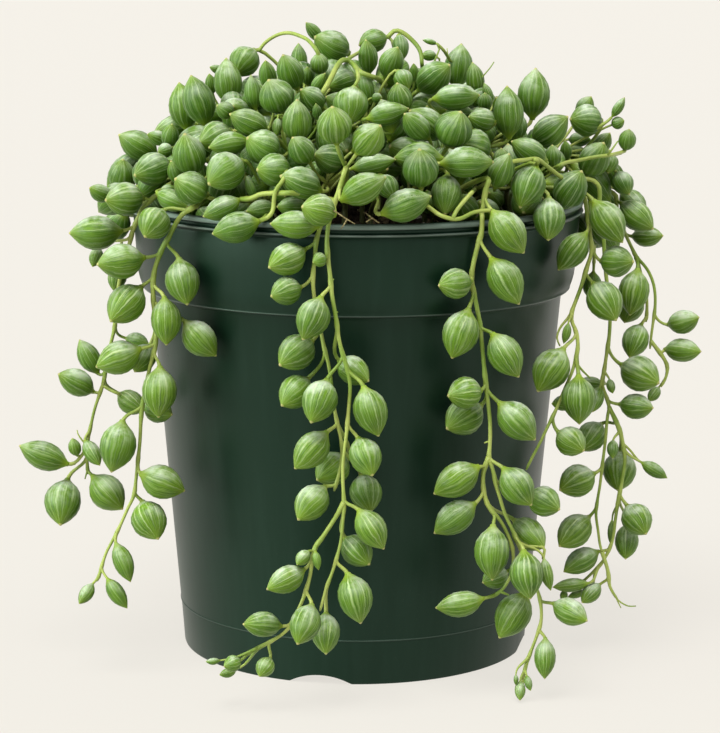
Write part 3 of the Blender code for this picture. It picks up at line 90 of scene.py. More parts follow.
STRANDS = (
    Strand(
        "left_outer", (-62.0, -12.0),
        ((172, 183), (160, 192), (150, 201), (141, 212), (133, 230), (129, 246), (123, 263), (119, 284),
         (116, 305), (115, 325), (111, 343), (107, 360), (104, 380), (100, 393), (95, 408), (91, 425),
         (88, 441), (87, 458), (88, 474)),
        (-40.0, -34.0, -30.0, -26.0), (),
        ((130, 200, 183, 34, 42), (101, 193, 155, 18, 27, 1), (96, 232, 182, 35, 54),
         (96, 257, 250, 14, 22, 1), (89, 357, 118, 22, 40, 1), (76, 383, 152, 27, 42),
         (131, 402, 325, 24, 34, 1), (137, 341, 345, 17, 26, 1), (44, 455, 158, 29, 53),
         (76, 447, 105, 13, 20), (91, 452, 300, 17, 31), (64, 502, 260, 37, 50), (104, 490, 311, 34, 47))),
    Strand(
        "left_inner", (-50.0, -38.0),
        ((196, 206), (188, 210), (180, 217), (174, 227), (169, 237), (163, 247), (158, 259), (154, 273),
         (153, 290), (154, 308), (156, 325), (156, 339), (154, 352), (150, 367), (146, 385), (143, 402),
         (141, 419), (140, 440), (138, 460), (136, 479), (134, 495), (128, 508), (120, 526), (114, 538),
         (107, 551), (103, 562), (100, 573), (97, 581)),
        (-62.0, -58.0, -54.0, -52.0), (),
        ((155, 224, 235, 34, 37), (121, 261, 188, 36, 50), (126, 304, 228, 37, 50), (186, 281, 280, 35, 49),
         (170, 321, 272, 31, 49), (200, 337, 312, 33, 48), (119, 358, 202, 34, 49), (157, 391, 268, 35, 52),
         (158, 411, 345, 26, 32, 1), (142, 358, 240, 26, 34, 1), (119, 446, 257, 37, 54),
         (162, 482, 338, 34, 49), (146, 517, 292, 36, 45), (123, 562, 290, 20, 43), (117, 593, 303, 17, 37),
         (88, 592, 235, 14, 26))),
    Strand(
        "centre_left", (-24.0, -50.0),
        ((333, 200), (326, 214), (320, 228), (316, 242), (315, 257), (313, 275), (314, 295), (318, 315),
         (321, 332), (324, 347), (328, 362), (331, 380), (333, 398), (335, 412), (338, 426), (341, 440),
         (342, 452), (340, 468), (337, 481), (334, 491)),
        (-82.0, -86.0, -88.5, -88.0), (),
        ((295, 225, 177, 29, 50), (287, 259, 207, 33, 44), (286, 291, 197, 29, 35),
         (296, 353, 217, 36, 45, 1), (295, 392, 226, 33, 42, 1), (311, 450, 229, 33, 50),
         (332, 470, 218, 34, 42, 1), (313, 501, 231, 33, 46), (366, 493, 285, 33, 42, 1))),
    Strand(
        "centre", (-4.0, -46.0),
        ((346, 168), (340, 188), (334, 204), (329, 222), (327, 240), (328, 258), (330, 275), (332, 295),
         (336, 318), (339, 340), (343, 355), (347, 368), (350, 385), (349, 405), (347, 428), (345, 446),
         (343, 465), (343, 485), (344, 503), (343, 520), (341, 540), (337, 557), (332, 573), (327, 586),
         (323, 600), (320, 611)),
        (-84.0, -92.0, -95.0, -95.0),
        (((344, 503), (337, 515), (330, 526), (322, 538), (315, 548), (312, 562), (310, 576), (306, 590),
          (301, 604), (294, 618), (287, 630), (275, 639), (258, 648), (244, 656)),),
        ((336, 126, 97, 36, 42), (367, 139, 50, 33, 41), (363, 189, 28, 32, 52), (320, 211, 165, 33, 38),
         (320, 260, 200, 15, 16), (312, 318, 247, 34, 48), (319, 401, 250, 36, 49),
         (353, 371, 325, 29, 40, 1), (371, 411, 287, 35, 53), (363, 456, 291, 33, 44),
         (371, 529, 303, 31, 48), (357, 551, 313, 31, 40, 1), (286, 579, 208, 27, 44),
         (304, 558, 230, 14, 20), (316, 560, 280, 9, 20), (263, 626, 177, 26, 41), (302, 622, 250, 31, 45),
         (326, 633, 270, 29, 44, 1), (354, 598, 285, 35, 53), (233, 663, 200, 17, 20),
         (213, 661, 184, 7, 15), (228, 672, 198, 10, 19, 1), (265, 667, 238, 19, 24))),
    Strand(
        "right_centre", (34.0, -44.0),
        ((487, 178), (485, 192), (483, 208), (479, 225), (475, 243), (472, 262), (471, 278), (474, 293),
         (477, 308), (480, 325), (482, 345), (484, 365), (486, 385), (488, 402), (490, 422), (490, 442),
         (489, 458), (493, 470), (496, 485), (500, 498), (505, 514), (512, 529), (518, 543), (524, 560),
         (532, 577), (538, 592), (541, 606), (541, 622), (536, 638), (530, 654), (525, 669), (523, 681),
         (522, 691)),
        (-68.0, -76.0, -78.0, -78.0),
        (((489, 458), (484, 470), (483, 484), (485, 497), (490, 509), (499, 519), (507, 533), (513, 551),
          (512, 570), (506, 585), (498, 593), (489, 598)),),
        ((504, 232, 308, 36, 54), (505, 281, 302, 36, 55), (450, 282, 187, 31, 37), (462, 333, 252, 37, 53),
         (505, 355, 302, 35, 52), (467, 393, 190, 33, 38), (464, 417, 215, 37, 46, 1),
         (517, 421, 315, 35, 53), (457, 480, 212, 34, 54), (515, 487, 308, 34, 48), (455, 518, 217, 32, 52),
         (495, 550, 270, 36, 56), (544, 502, 335, 31, 38, 1), (529, 534, 318, 32, 44, 1),
         (527, 573, 279, 34, 50), (495, 577, 205, 24, 30, 1), (460, 603, 192, 26, 50),
         (513, 615, 240, 36, 54, 1), (547, 574, 283, 13, 34), (570, 612, 334, 27, 41),
         (545, 658, 270, 22, 42), (526, 684, 285, 8, 17), (517, 681, 270, 5, 11), (522, 701, 270, 11, 21))),
    Strand(
        "right_inner", (56.0, -30.0),
        ((577, 190), (585, 202), (588, 218), (590, 235), (592, 250), (588, 264), (584, 277), (580, 290),
         (575, 303), (571, 317), (575, 329), (578, 343), (576, 358), (572, 372), (566, 386), (560, 400),
         (555, 412), (548, 426), (541, 441), (533, 456), (526, 470)),
        (-38.0, -42.0, -50.0, -60.0), (),
        ((606, 223, 306, 34, 52), (573, 251, 234, 29, 48), (617, 260, 0, 32, 37), (602, 301, 303, 36, 48),
         (551, 370, 240, 37, 52), (576, 402, 272, 35, 50), (563, 403, 185, 16, 24, 1),
         (572, 438, 325, 30, 36), (566, 333, 258, 9, 22))),
    Strand(
        "right_middle", (62.0, -8.0),
        ((592, 180), (600, 206), (603, 226), (604, 245), (605, 264), (607, 283), (610, 303), (610, 322),
         (609, 338), (606, 358), (604, 372), (602, 384), (606, 396), (609, 406), (607, 420), (606, 435),
         (604, 452), (602, 468), (600, 485), (597, 503), (596, 515), (598, 530), (600, 545), (602, 552)),
        (-14.0, -18.0, -22.0, -24.0),
        (((609, 406), (614, 417), (620, 431), (623, 445), (625, 459), (623, 475), (620, 492), (617, 508),
          (615, 523), (613, 538), (608, 552), (601, 564), (591, 574), (581, 583), (573, 588)),
         ((607, 554), (608, 571), (610, 587), (618, 600))),
        ((640, 374, 335, 36, 46), (591, 383, 175, 13, 26, 1), (597, 399, 255, 15, 28),
         (611, 386, 285, 9, 16), (636, 406, 355, 26, 37), (592, 437, 235, 29, 37, 1),
         (579, 482, 207, 33, 42), (654, 470, 330, 14, 31), (620, 471, 268, 34, 44, 1),
         (613, 449, 270, 12, 20), (576, 531, 226, 32, 45), (631, 518, 305, 31, 38),
         (626, 541, 268, 24, 38, 1), (612, 532, 268, 8, 26, 1), (589, 561, 212, 25, 42),
         (591, 593, 227, 18, 28), (571, 586, 188, 14, 37), (577, 594, 200, 8, 20, 1),
         (564, 595, 262, 8, 12))),
    Strand(
        "right_outer", (64.0, 14.0),
        ((608, 190), (617, 210), (625, 233), (631, 246), (637, 258), (645, 266), (652, 279), (655, 293),
         (655, 308), (653, 323), (651, 338), (650, 349)),
        (6.0, 4.0, 0.0, 0.0),
        (((637, 258), (641, 275), (646, 292), (647, 308), (646, 322)),
         ((651, 343), (660, 353), (667, 365), (666, 377), (661, 387))),
        ((632, 203, 318, 24, 36, 1), (634, 216, 322, 29, 44), (647, 236, 2, 21, 34, 1),
         (635, 291, 262, 31, 48), (630, 307, 252, 28, 36, 1), (683, 321, 15, 24, 35),
         (637, 341, 252, 27, 38), (680, 352, 358, 24, 39), (654, 394, 235, 12, 19, 1))),
)

MOUND_LEAVES = (
    (199, 101, 107, 33, 54), (184, 107, 100, 30, 50, 1), (138, 147, 150, 30, 46, 1),
     (158, 138, 160, 15, 24, 2), (171, 136, 80, 18, 26, 1), (165, 150, 200, 15, 17, 1),
     (190, 154, 103, 34, 46), (152, 171, 200, 34, 42), (122, 174, 85, 27, 34, 1),
     (173, 206, 335, 22, 36, 1), (193, 193, 150, 34, 40), (177, 172, 120, 20, 28, 1),
     (169, 191, 180, 11, 18, 1), (228, 82, 94, 29, 48), (246, 65, 232, 31, 36, 1), (217, 69, 165, 9, 16, 1),
     (211, 84, 100, 12, 22, 1), (251, 94, 98, 17, 36, 1), (276, 96, 115, 36, 40), (269, 76, 100, 18, 32, 1),
     (290, 72, 112, 27, 40), (299, 60, 92, 17, 34, 1), (225, 110, 150, 18, 21), (249, 123, 155, 28, 44),
     (215, 138, 200, 34, 38, 1), (297, 122, 90, 30, 46), (277, 127, 265, 10, 20, 1),
     (229, 144, 190, 24, 42), (314, 32, 130, 13, 26, 1), (332, 45, 155, 33, 42), (319, 64, 95, 19, 24),
     (373, 41, 197, 24, 32, 1), (370, 59, 96, 20, 36), (391, 63, 68, 25, 36), (401, 47, 278, 17, 28, 1),
     (403, 80, 300, 20, 24), (400, 98, 100, 26, 34, 1), (386, 113, 14, 23, 44), (312, 99, 140, 24, 32, 1),
     (319, 84, 60, 13, 26, 1), (308, 76, 90, 13, 20, 2), (345, 84, 200, 26, 32, 2),
     (366, 88, 285, 17, 34, 1), (377, 98, 0, 11, 12, 1), (317, 112, 98, 10, 18, 1), (353, 106, 262, 36, 42),
     (429, 56, 180, 11, 17, 1), (430, 42, 165, 6, 16), (460, 70, 83, 29, 46, 1), (474, 80, 96, 19, 36, 1),
     (456, 97, 5, 27, 48), (434, 78, 40, 32, 44), (414, 73, 92, 10, 20, 1), (454, 130, 70, 39, 42),
     (483, 119, 170, 24, 30, 1), (488, 93, 112, 10, 22, 1), (485, 102, 92, 15, 20, 1),
     (507, 113, 93, 31, 54), (418, 131, 135, 25, 38), (428, 118, 95, 15, 26, 2), (534, 94, 87, 33, 52),
     (550, 130, 38, 31, 46), (586, 120, 178, 33, 36), (585, 107, 60, 18, 26, 1), (619, 109, 58, 10, 24),
     (617, 121, 20, 13, 15), (601, 144, 52, 18, 30, 1), (579, 143, 0, 15, 24, 1), (627, 140, 80, 18, 24),
     (529, 151, 152, 26, 42), (553, 156, 95, 17, 24, 1), (566, 151, 95, 12, 22, 2),
     (579, 155, 130, 22, 30, 1), (611, 166, 262, 18, 22), (618, 181, 300, 22, 28), (261, 150, 150, 36, 40),
     (225, 174, 215, 39, 46), (277, 166, 180, 34, 38), (299, 153, 125, 27, 34), (328, 158, 168, 30, 34, 1),
     (300, 183, 160, 33, 46), (236, 227, 195, 32, 50), (222, 207, 205, 24, 42), (261, 210, 188, 20, 32, 1),
     (292, 206, 183, 20, 32, 1), (250, 187, 112, 10, 26, 1), (374, 164, 12, 20, 46, 1),
     (388, 187, 300, 22, 30, 1), (406, 205, 20, 33, 54), (420, 168, 92, 37, 43), (419, 156, 180, 34, 50, 1),
     (475, 148, 165, 37, 40, 1), (466, 165, 2, 32, 54), (502, 171, 68, 26, 40), (498, 157, 90, 17, 22, 1),
     (447, 192, 267, 31, 44, 1), (529, 187, 250, 35, 48), (547, 218, 270, 33, 46), (572, 190, 62, 34, 46),
     (588, 178, 60, 31, 42, 1), (607, 184, 305, 20, 42, 1), (603, 197, 320, 16, 38, 2),
)

BACK_TRAILS = (
    (12.0, 28.0), (42.0, 46.0), (62.0, 108.0), (86.0, 142.0), (111.0, 98.0), (138.0, 52.0), (167.0, 26.0),
)


def spans(rows: Array) -> Array:
    """The length of the vector in each row."""
    return np.linalg.norm(rows, axis=-1)


def unit(vector: Array) -> Array:
    """A vector, or the vector in each row, at length one."""
    return vector / np.linalg.norm(vector, axis=-1, keepdims=True)


def leaf_outline(place: Array) -> Array:
    """A leaf's half width at a place from neck to tip, as a share of its widest."""
    return (4.0 * place * (1.0 - place)) ** 0.82


def resample(points: Array, step: float) -> Array:
    """Even steps along a smooth curve.

    Args:
        points: the curve's knots.
        step: the wanted distance between points.

    Returns:
        The points, ends included.
    """
    points = np.asarray(points, dtype=float)
    padded = np.vstack((2 * points[0] - points[1], points, 2 * points[-1] - points[-2]))
    fine = []
    for a, b, c, d in zip(padded, padded[1:], padded[2:], padded[3:]):
        for t in np.linspace(0.0, 1.0, 12, endpoint=False):
            fine.append(0.5 * (2 * b + (c - a) * t + (2 * a - 5 * b + 4 * c - d) * t ** 2
                               + (3 * b - a - 3 * c + d) * t ** 3))
    fine.append(points[-1])
    fine = np.array(fine)
    run = np.concatenate(((0.0,), np.cumsum(spans(np.diff(fine, axis=0)))))
    count = max(int(round(run[-1] / step)), 2) + 1
    marks = np.linspace(0.0, run[-1], count)
    return np.column_stack([np.interp(marks, run, fine[:, k]) for k in range(3)])


def thinned(route: Array, error: float) -> Array:
    """A route with straight runs in place of its slight bends.

    Args:
        route: its points.
        error: how far a dropped point may lie from its run.

    Returns:
        The points that are kept.
    """
    run = route[-1] - route[0]
    share = np.clip((route - route[0]) @ run / (run @ run), 0.0, 1.0)
    off = spans(route[0] + share[:, None] * run - route)
    worst = int(off.argmax())
    if off[worst] < error:
        return route[[0, -1]]
    return np.vstack((thinned(route[:worst + 1], error)[:-1], thinned(route[worst:], error)))


def straightened(route: Array, error: float, step: float) -> Array:
    """A thinned route with points at even steps along its straight runs.

    Args:
        route: its points.
        error: how far the runs may stray from it.
        step: the distance between the new points.

    Returns:
        The new points.
    """
    corners = thinned(route, error)
    points = [corners[:1]]
    for start, end in zip(corners, corners[1:]):
        count = max(int(np.ceil(np.linalg.norm(end - start) / step)), 1)
        points.append(start + (end - start) * np.linspace(0.0, 1.0, count + 1)[1:, None])
    return np.vstack(points)


def dome_directions(count: int, lowest: float) -> Array:
    """Even directions over a dome.

    Args:
        count: how many.
        lowest: the sine of the lowest one's height.

    Returns:
        One direction in each row, from the top down.
    """
    turn = GOLDEN_ANGLE * np.arange(count)
    high = 1.0 - (1.0 - lowest) * (np.arange(count) + 0.5) / count
    ring = np.sqrt(np.maximum(1.0 - high * high, 0.0))
    return np.column_stack((ring * np.cos(turn), ring * np.sin(turn), high))


@dataclass(frozen=True)
class View:
    """The photograph's view: where it was taken from and how it maps space to its picture."""

    middle_column: float = 360.0
    middle_row: float = 366.5
    focal: float = 2718.7
    pitch: float = 0.1801
    roll: float = 0.0047
    place: tuple = (0.00153, -0.9859, 0.2820)
    picture_height: float = 733.0
    sensor: float = 36.0

    @property
    def eye(self) -> Array:
        """The camera's place."""
        return np.array(self.place)

    @property
    def ahead(self) -> Array:
        """The direction that the camera looks in."""
        return np.array((0.0, math.cos(self.pitch), -math.sin(self.pitch)))

    def sight(self, column: float, row: float) -> Array:
        """The line of sight through a place in the picture.

        Args:
            column: picture column.
            row: picture row.

        Returns:
            Its direction.
        """
        across = column - self.middle_column
        down = row - self.middle_row
        right = (across * math.cos(self.roll) + down * math.sin(self.roll)) / self.focal
        rise = (across * math.sin(self.roll) - down * math.cos(self.roll)) / self.focal
        return np.array((right, math.cos(self.pitch) + rise * math.sin(self.pitch),
                         rise * math.cos(self.pitch) - math.sin(self.pitch)))

    def seen(self, column: float, row: float, depth: float) -> Array:
        """The point at a depth, as its y, that shows at a place in the picture."""
        ray = self.sight(column, row)
        return self.eye + ray * (depth - self.eye[1]) / ray[1]

    def scale(self, point: Array) -> float:
        """Metres that one picture step covers at a point."""
        return float((point - self.eye) @ self.ahead) / self.focal


@dataclass(frozen=True)
class PotForm:
    """The pot's sizes, and how round things keep off it."""

    height: float = 165.8 * MM
    lip_bottom: float = 161.3 * MM
    lip_radius: float = 82.5 * MM
    band_bottom: float = 135.2 * MM
    band_radius: float = 79.5 * MM
    band_round: float = 5.0 * MM
    body_top_radius: float = 75.0 * MM
    mould_line_height: float = 16.3 * MM
    mould_line_radius: float = 64.8 * MM
    foot_radius: float = 63.5 * MM
    soil_top: float = 157.0 * MM
    lip_round: float = 1.6 * MM
    lip_inside: float = 78.0 * MM
    cup_radius: float = 79.6 * MM
    soil_reach: float = 6.0 * MM
    floor_gap: float = 0.6 * MM

    def wall_at(self, heights: Array) -> Array:
        """The pot's outer radius.

        Args:
            heights: where it is wanted.

        Returns:
            The radius at each height.
        """
        outside = np.array((
            (self.foot_radius, 0.0), (self.mould_line_radius, self.mould_line_height),
            (self.body_top_radius, self.band_bottom - self.band_round),
            (self.band_radius, self.band_bottom), (self.lip_radius, self.height)))
        return np.interp(heights, outside[:, 1], outside[:, 0])

    def keep_off(self, points: Array, radius: Array | float) -> Array:
        """Moves that take round things out of the pot and the soil and above the floor.

        Args:
            points: the middles of the round things.
            radius: their radii, or one for all.

        Returns:
            A move for each point.
        """
        ring = np.hypot(points[:, 0], points[:, 1])
        outward = points[:, :2] / np.maximum(ring, 1e-9)[:, None]
        push_ring = np.zeros(len(points))
        push_rise = np.zeros(len(points))
        wall = self.wall_at(points[:, 2])
        low = points[:, 2] < self.height - self.lip_round
        beside = low & ((ring > self.lip_inside) | (points[:, 2] < self.soil_top - self.soil_reach))
        push_ring = np.where(beside, np.maximum(wall + radius - ring, 0.0), push_ring)
        push_ring = np.where(low & ~beside, np.minimum(self.cup_radius - radius - ring, 0.0), push_ring)
        over = ~beside & (points[:, 2] < self.height + radius + self.lip_round)
        gap_ring = ring - (self.lip_radius - self.lip_round)
        gap_rise = points[:, 2] - (self.height - self.lip_round)
        gap = np.maximum(np.hypot(gap_ring, gap_rise), 1e-9)
        short = np.where(over, np.maximum(radius + self.lip_round - gap, 0.0), 0.0)
        push_ring = push_ring + short * gap_ring / gap
        push_rise = push_rise + short * gap_rise / gap
        above = ~beside & (ring <= self.lip_inside + 2 * MM)
        push_rise = np.where(above, np.maximum(push_rise, self.soil_top + radius - points[:, 2]), push_rise)
        push_rise = np.maximum(push_rise, self.floor_gap + radius - points[:, 2])
        return np.column_stack((outward * push_ring[:, None], push_rise))


@dataclass(frozen=True)
class MoundForm:
    """The dome that the upper leaves stand on."""

    height: float = 150.0 * MM
    reach_across: float = 91.0 * MM
    reach_up: float = 66.0 * MM
    layer_depth: float = 9.0 * MM

    @property
    def middle(self) -> Array:
        """The dome's middle."""
        return np.array((0.0, 0.0, self.height))

    @property
    def reach(self) -> Array:
        """The dome's half sizes."""
        return np.array((self.reach_across, self.reach_across, self.reach_up))

    def surface(self, view: View, column: float, row: float) -> Array:
        """Where a line of sight meets the dome, or passes closest.

        Args:
            view: the photograph's view.
            column: picture column.
            row: picture row.

        Returns:
            The point.
        """
        ray = unit(view.sight(column, row))
        start = (view.eye - self.middle) / self.reach
        step = ray / self.reach
        a = step @ step
        b = start @ step
        c = start @ start - 1.0
        inside = b * b - a * c
        travel = (-b - math.sqrt(inside)) / a if inside > 0.0 else -b / a
        return view.eye + ray * travel


class LeafSet:
    """All leaves: middles, axes from neck to tip, half widths, lengths, strand numbers, and which show."""

    PLACES = np.array((0.11, 0.27, 0.45, 0.63, 0.80, 0.92))
    SIZES = leaf_outline(PLACES) * np.array((0.9, 1.0, 1.0, 1.0, 1.0, 0.9))
    FARTHEST_TILT = math.radians(28.0)
    ROUNDEST = 1.10

    def __init__(self, view: View) -> None:
        """An empty set, for a view."""
        self.view = view
        self.rows: list = []

    def add(self, middle: Array, axis: Array, half: float, length: float, strand: int,
            is_seen: bool) -> None:
        """Add one leaf, with -1 as its strand where that is still open."""
        self.rows.append((middle, unit(axis), half, length, strand, is_seen))

    def add_seen(self, leaf: Leaf, middle: Array, strand: int) -> None:
        """Add a leaf read from the picture, tipped toward the viewer where it looks too short.

        Args:
            leaf: the leaf as seen.
            middle: its middle.
            strand: the number of its stem, or -1.
        """
        scale = self.view.scale(middle)
        slimness = min(max((34.0 - leaf.width) / 22.0, 0.0), 1.0)
        natural = 1.42 + 0.75 * slimness
        shown = max(leaf.length / leaf.width, 1.02)
        tip_on = 0.0
        if shown < natural:
            tip_on = math.acos(math.sqrt((shown ** 2 - 1.0) / (natural ** 2 - 1.0)))
            tip_on = min(tip_on, self.FARTHEST_TILT)
        slender = max(math.sqrt(shown ** 2 - math.sin(tip_on) ** 2) / math.cos(tip_on), self.ROUNDEST)
        heading = math.radians(leaf.heading)
        toward = -unit(self.view.sight(leaf.column, leaf.row))
        right = unit(np.cross(toward, (0.0, 0.0, -1.0)))
        up = np.cross(right, -toward)
        flat = right * math.cos(heading) + up * math.sin(heading)
        axis = flat * math.cos(tip_on) + toward * math.sin(tip_on)
        self.add(middle, axis, leaf.width * scale / 2.0, slender * leaf.width * scale, strand, True)

    def close(self) -> None:
        """Turn the rows into one array for each kind of value once all leaves are in."""
        self.middle, self.axis, self.half, self.length, self.strand, self.seen = (
            np.array(values) for values in zip(*self.rows))

    def neck(self) -> Array:
        """The end of each leaf where its petiole meets it."""
        return self.middle - self.axis * self.length[:, None] * 0.5

    def spheres(self) -> tuple[Array, Array]:
        """The spheres that fill each leaf.

        Returns:
            Their centres and their radii.
        """
        along = (self.PLACES - 0.5)[None, :, None] * self.length[:, None, None]
        centres = self.middle[:, None, :] + self.axis[:, None, :] * along
        return centres, self.half[:, None] * self.SIZES[None, :]

    def near_pairs(self, slack: float) -> Array:
        """Pairs of leaves that are close together.

        Args:
            slack: the greatest gap between the balls round them.

        Returns:
            Two leaf numbers in each row.
        """
        reach = self.length * 0.5
        away = spans(self.middle[:, None] - self.middle[None])
        close = away < reach[:, None] + reach[None] + slack
        return np.argwhere(np.triu(close, 1))


@dataclass
class Growth:
    """Where every stem, leaf and petiole stands: the same rules as in the part's source."""

    view: View = View()
    pot: PotForm = PotForm()
    mound: MoundForm = MoundForm()
    stem_radius: float = 1.05 * MM
    leaf_gap: float = 0.45 * MM
    stem_step: float = 3.0 * MM
    stem_gap: float = 3.9 * MM
    stem_off_pot: float = 0.9 * MM
    chord_error: float = 0.42 * MM
    sharpest_bend: float = 0.35
    before_stem: float = 3.0 * MM
    behind_stem: float = 5.0 * MM
    shoots: int = 26
    shoot_root_reach: float = 64.0 * MM
    hidden_spread: int = 82
    hidden_seed: int = 11
    crest_facing: float = 0.34
    back_radius: float = 90.0 * MM
    back_leaf_step: float = 15.0 * MM
    stem_rounds: int = 140
    leaf_rounds: int = 170
    names: list = field(default_factory=list)
    stems: list = field(default_factory=list)
    owners: list = field(default_factory=list)
    loose: list = field(default_factory=list)

    def grow(self) -> None:
        """Work out the whole plant."""
        self.leaves = LeafSet(self.view)
        for number, strand in enumerate(STRANDS):
            routes = self.trail_routes(strand)
            self.add_stems("strand_" + strand.name, routes, False)
            first = self.view.seen(*strand.route[0], strand.depths[0] * MM)
            start = spans(routes[0] - first).argmin()
            shown = np.vstack([routes[0][start:]] + routes[1:])
            usual = float(np.median(shown[:, 1]))
            for leaf in itertools.starmap(Leaf, strand.leaves):
                probe = self.view.seen(leaf.column, leaf.row, usual)
                nearest = np.argmin(np.hypot(shown[:, 0] - probe[0], shown[:, 2] - probe[2]))
                depth = shown[nearest, 1] + (self.behind_stem if leaf.layer else -self.before_stem)
                self.leaves.add_seen(leaf, self.view.seen(leaf.column, leaf.row, depth), number)
        for leaf in itertools.starmap(Leaf, MOUND_LEAVES):
            place = self.mound.surface(self.view, leaf.column, leaf.row)
            place = place + unit(place - self.view.eye) * self.mound.layer_depth * leaf.layer
            self.leaves.add_seen(leaf, place, -1)
        self.hidden_leaves()
        for angle, drop in BACK_TRAILS:
            routes = self.back_routes(angle, drop)
            self.back_leaves(routes[0], len(self.names), angle)
            self.add_stems(f"strand_back_{int(angle):03d}", routes, True)
        self.leaves.close()
        starts = [k for k in range(len(self.stems)) if k == 0 or self.owners[k] != self.owners[k - 1]]
        roots = np.array([self.stems[k][1][:2] for k in starts])
        first = len(self.names)
        for route in self.shoot_routes(first, roots):
            self.add_stems(f"shoot_{len(self.names) - first + 1:02d}", [route], True)
        self.part_stems()
        self.smooth_stems = self.stems
        self.stems = [straightened(route, self.chord_error, self.stem_step) for route in self.stems]
        self.points = np.vstack(self.stems)
        self.point_owner = np.concatenate(
            [np.full(len(stem), number) for stem, number in zip(self.stems, self.owners)])
        self.relax()
        self.ends = self.holds()

    def add_stems(self, name: str, routes: list, is_loose: bool) -> None:
        """Take in one strand.

        Args:
            name: its node.
            routes: its stem's points, then each twig's.
            is_loose: whether it gives way to those that the photograph shows.
        """
        self.stems += routes
        self.owners += [len(self.names)] * len(routes)
        self.loose += [is_loose] * len(routes)
        self.names.append(name)

    def trail_routes(self, strand: Strand) -> list:
        """A seen strand in space.

        Args:
            strand: the strand as seen.

        Returns:
            Its stem's route, then each twig's.
        """
        root = np.array((strand.root[0] * MM, strand.root[1] * MM, self.pot.soil_top))
        route = np.array(strand.route, dtype=float)
        run = np.concatenate(((0.0,), np.cumsum(spans(np.diff(route, axis=0)))))
        depths = np.interp(run / run[-1], np.linspace(0.0, 1.0, len(strand.depths)), strand.depths) * MM
        shown = np.array([self.view.seen(c, r, y) for (c, r), y in zip(route, depths)])
        hidden = (root - UP * 6 * MM, root, root + UP * 14 * MM)
        routes = [resample(np.vstack((*hidden, shown)), self.stem_step)]
        for twig in strand.twigs:
            start = np.argmin(spans(route - np.array(twig[0])))
            points = np.array([self.view.seen(c, r, depths[start]) for c, r in twig])
            nearest = np.argmin(spans(routes[0] - points[0]))
            points[0] = routes[0][nearest]
            routes.append(resample(points, self.stem_step))
        return routes

    @staticmethod
    def bearing(angle: float) -> tuple:
        """The directions at a place round the pot.

        Args:
            angle: the place, in degrees from +X.

        Returns:
            Outward, sideways and up.
        """
        turn = math.radians(angle)
        across, deep = math.cos(turn), math.sin(turn)
        return np.array((across, deep, 0.0)), np.array((-deep, across, 0.0)), UP

    def back_routes(self, angle: float, drop: float) -> list:
        """A strand out of sight.

        Args:
            angle: where it crosses the lip, in degrees from +X.
            drop: how far it hangs, in millimetres.

        Returns:
            Its one route.
        """
        out, side, high = self.bearing(angle)
        root = out * 58.0 * MM + high * self.pot.soil_top
        knots = [root - high * 6 * MM, root, root + high * 12 * MM,
                 out * 78.0 * MM + high * (self.pot.height + 7 * MM),
                 out * (self.back_radius - 2 * MM) + high * (self.pot.height - 2 * MM)]
        for share in (0.33, 0.66, 1.0):
            sway = 3.0 * MM * math.sin(5.0 * share + math.radians(angle) * 3.0)
            knots.append(out * self.back_radius + side * sway + high * (self.pot.height - drop * MM * share))
        return [resample(np.array(knots), self.stem_step)]

    def hidden_leaves(self) -> None:
        """Leaves over the part of the mound that faces away from the viewer."""
        draw = np.random.default_rng(self.hidden_seed)
        toward = unit(self.view.eye - self.mound.middle)
        for way in dome_directions(self.hidden_spread, -0.04):
            surface = self.mound.middle + way * self.mound.reach
            normal = unit(way / self.mound.reach)
            turned, lift, size, sink, slim = draw.random(5)
            facing = normal @ toward
            if facing > self.crest_facing:
                continue
            sink = sink if facing < 0.06 else 0.5 + 0.6 * sink
            side = unit(np.cross(normal, (0.0, 0.0, 1.0)))
            down = np.cross(side, normal)
            down = down if down[2] < 0.0 else -down
            turn = (turned - 0.5) * 2.4
            axis = down * math.cos(turn) + side * math.sin(turn) + normal * (0.15 + 0.55 * lift)
            half = (4.4 + 2.0 * size) * MM
            self.leaves.add(surface - normal * sink * 12 * MM, axis, half,
                            half * 2.0 * (1.5 + 0.4 * slim), -1, False)

    def back_leaves(self, route: Array, strand: int, angle: float) -> None:
        """Leaves that alternate down a strand out of sight.

        Args:
            route: its stem.
            strand: its number.
            angle: where it crosses the lip.
        """
        out, side, high = self.bearing(angle)
        low = (route[:, 2] < self.pot.height) & (np.hypot(route[:, 0], route[:, 1]) > self.pot.lip_radius)
        start = int(np.argmax(low)) if low.any() else len(route) - 3
        stride = int(round(self.back_leaf_step / self.stem_step))
        for k, spot in enumerate(range(start, len(route) - 1, stride)):
            hand = 1.0 if k % 2 else -1.0
            swing = math.sin(3.7 * k + angle)
            axis = unit(side * hand * (0.75 + 0.2 * swing) + out * (0.35 + 0.2 * swing)
                        - high * (0.45 - 0.3 * swing))
            half = (3.9 + 0.6 * swing) * MM
            length = half * 2.0 * 1.65
            neck = route[spot] + axis * (self.stem_radius + 3.5 * MM)
            self.leaves.add(neck + axis * length / 2, axis, half, length, strand, False)
        tip_axis = unit(route[-1] - route[-3])
        half = 3.6 * MM
        self.leaves.add(route[-1] + tip_axis * (1.5 * MM + half * 1.6), tip_axis, half, half * 3.2, strand,
                        False)

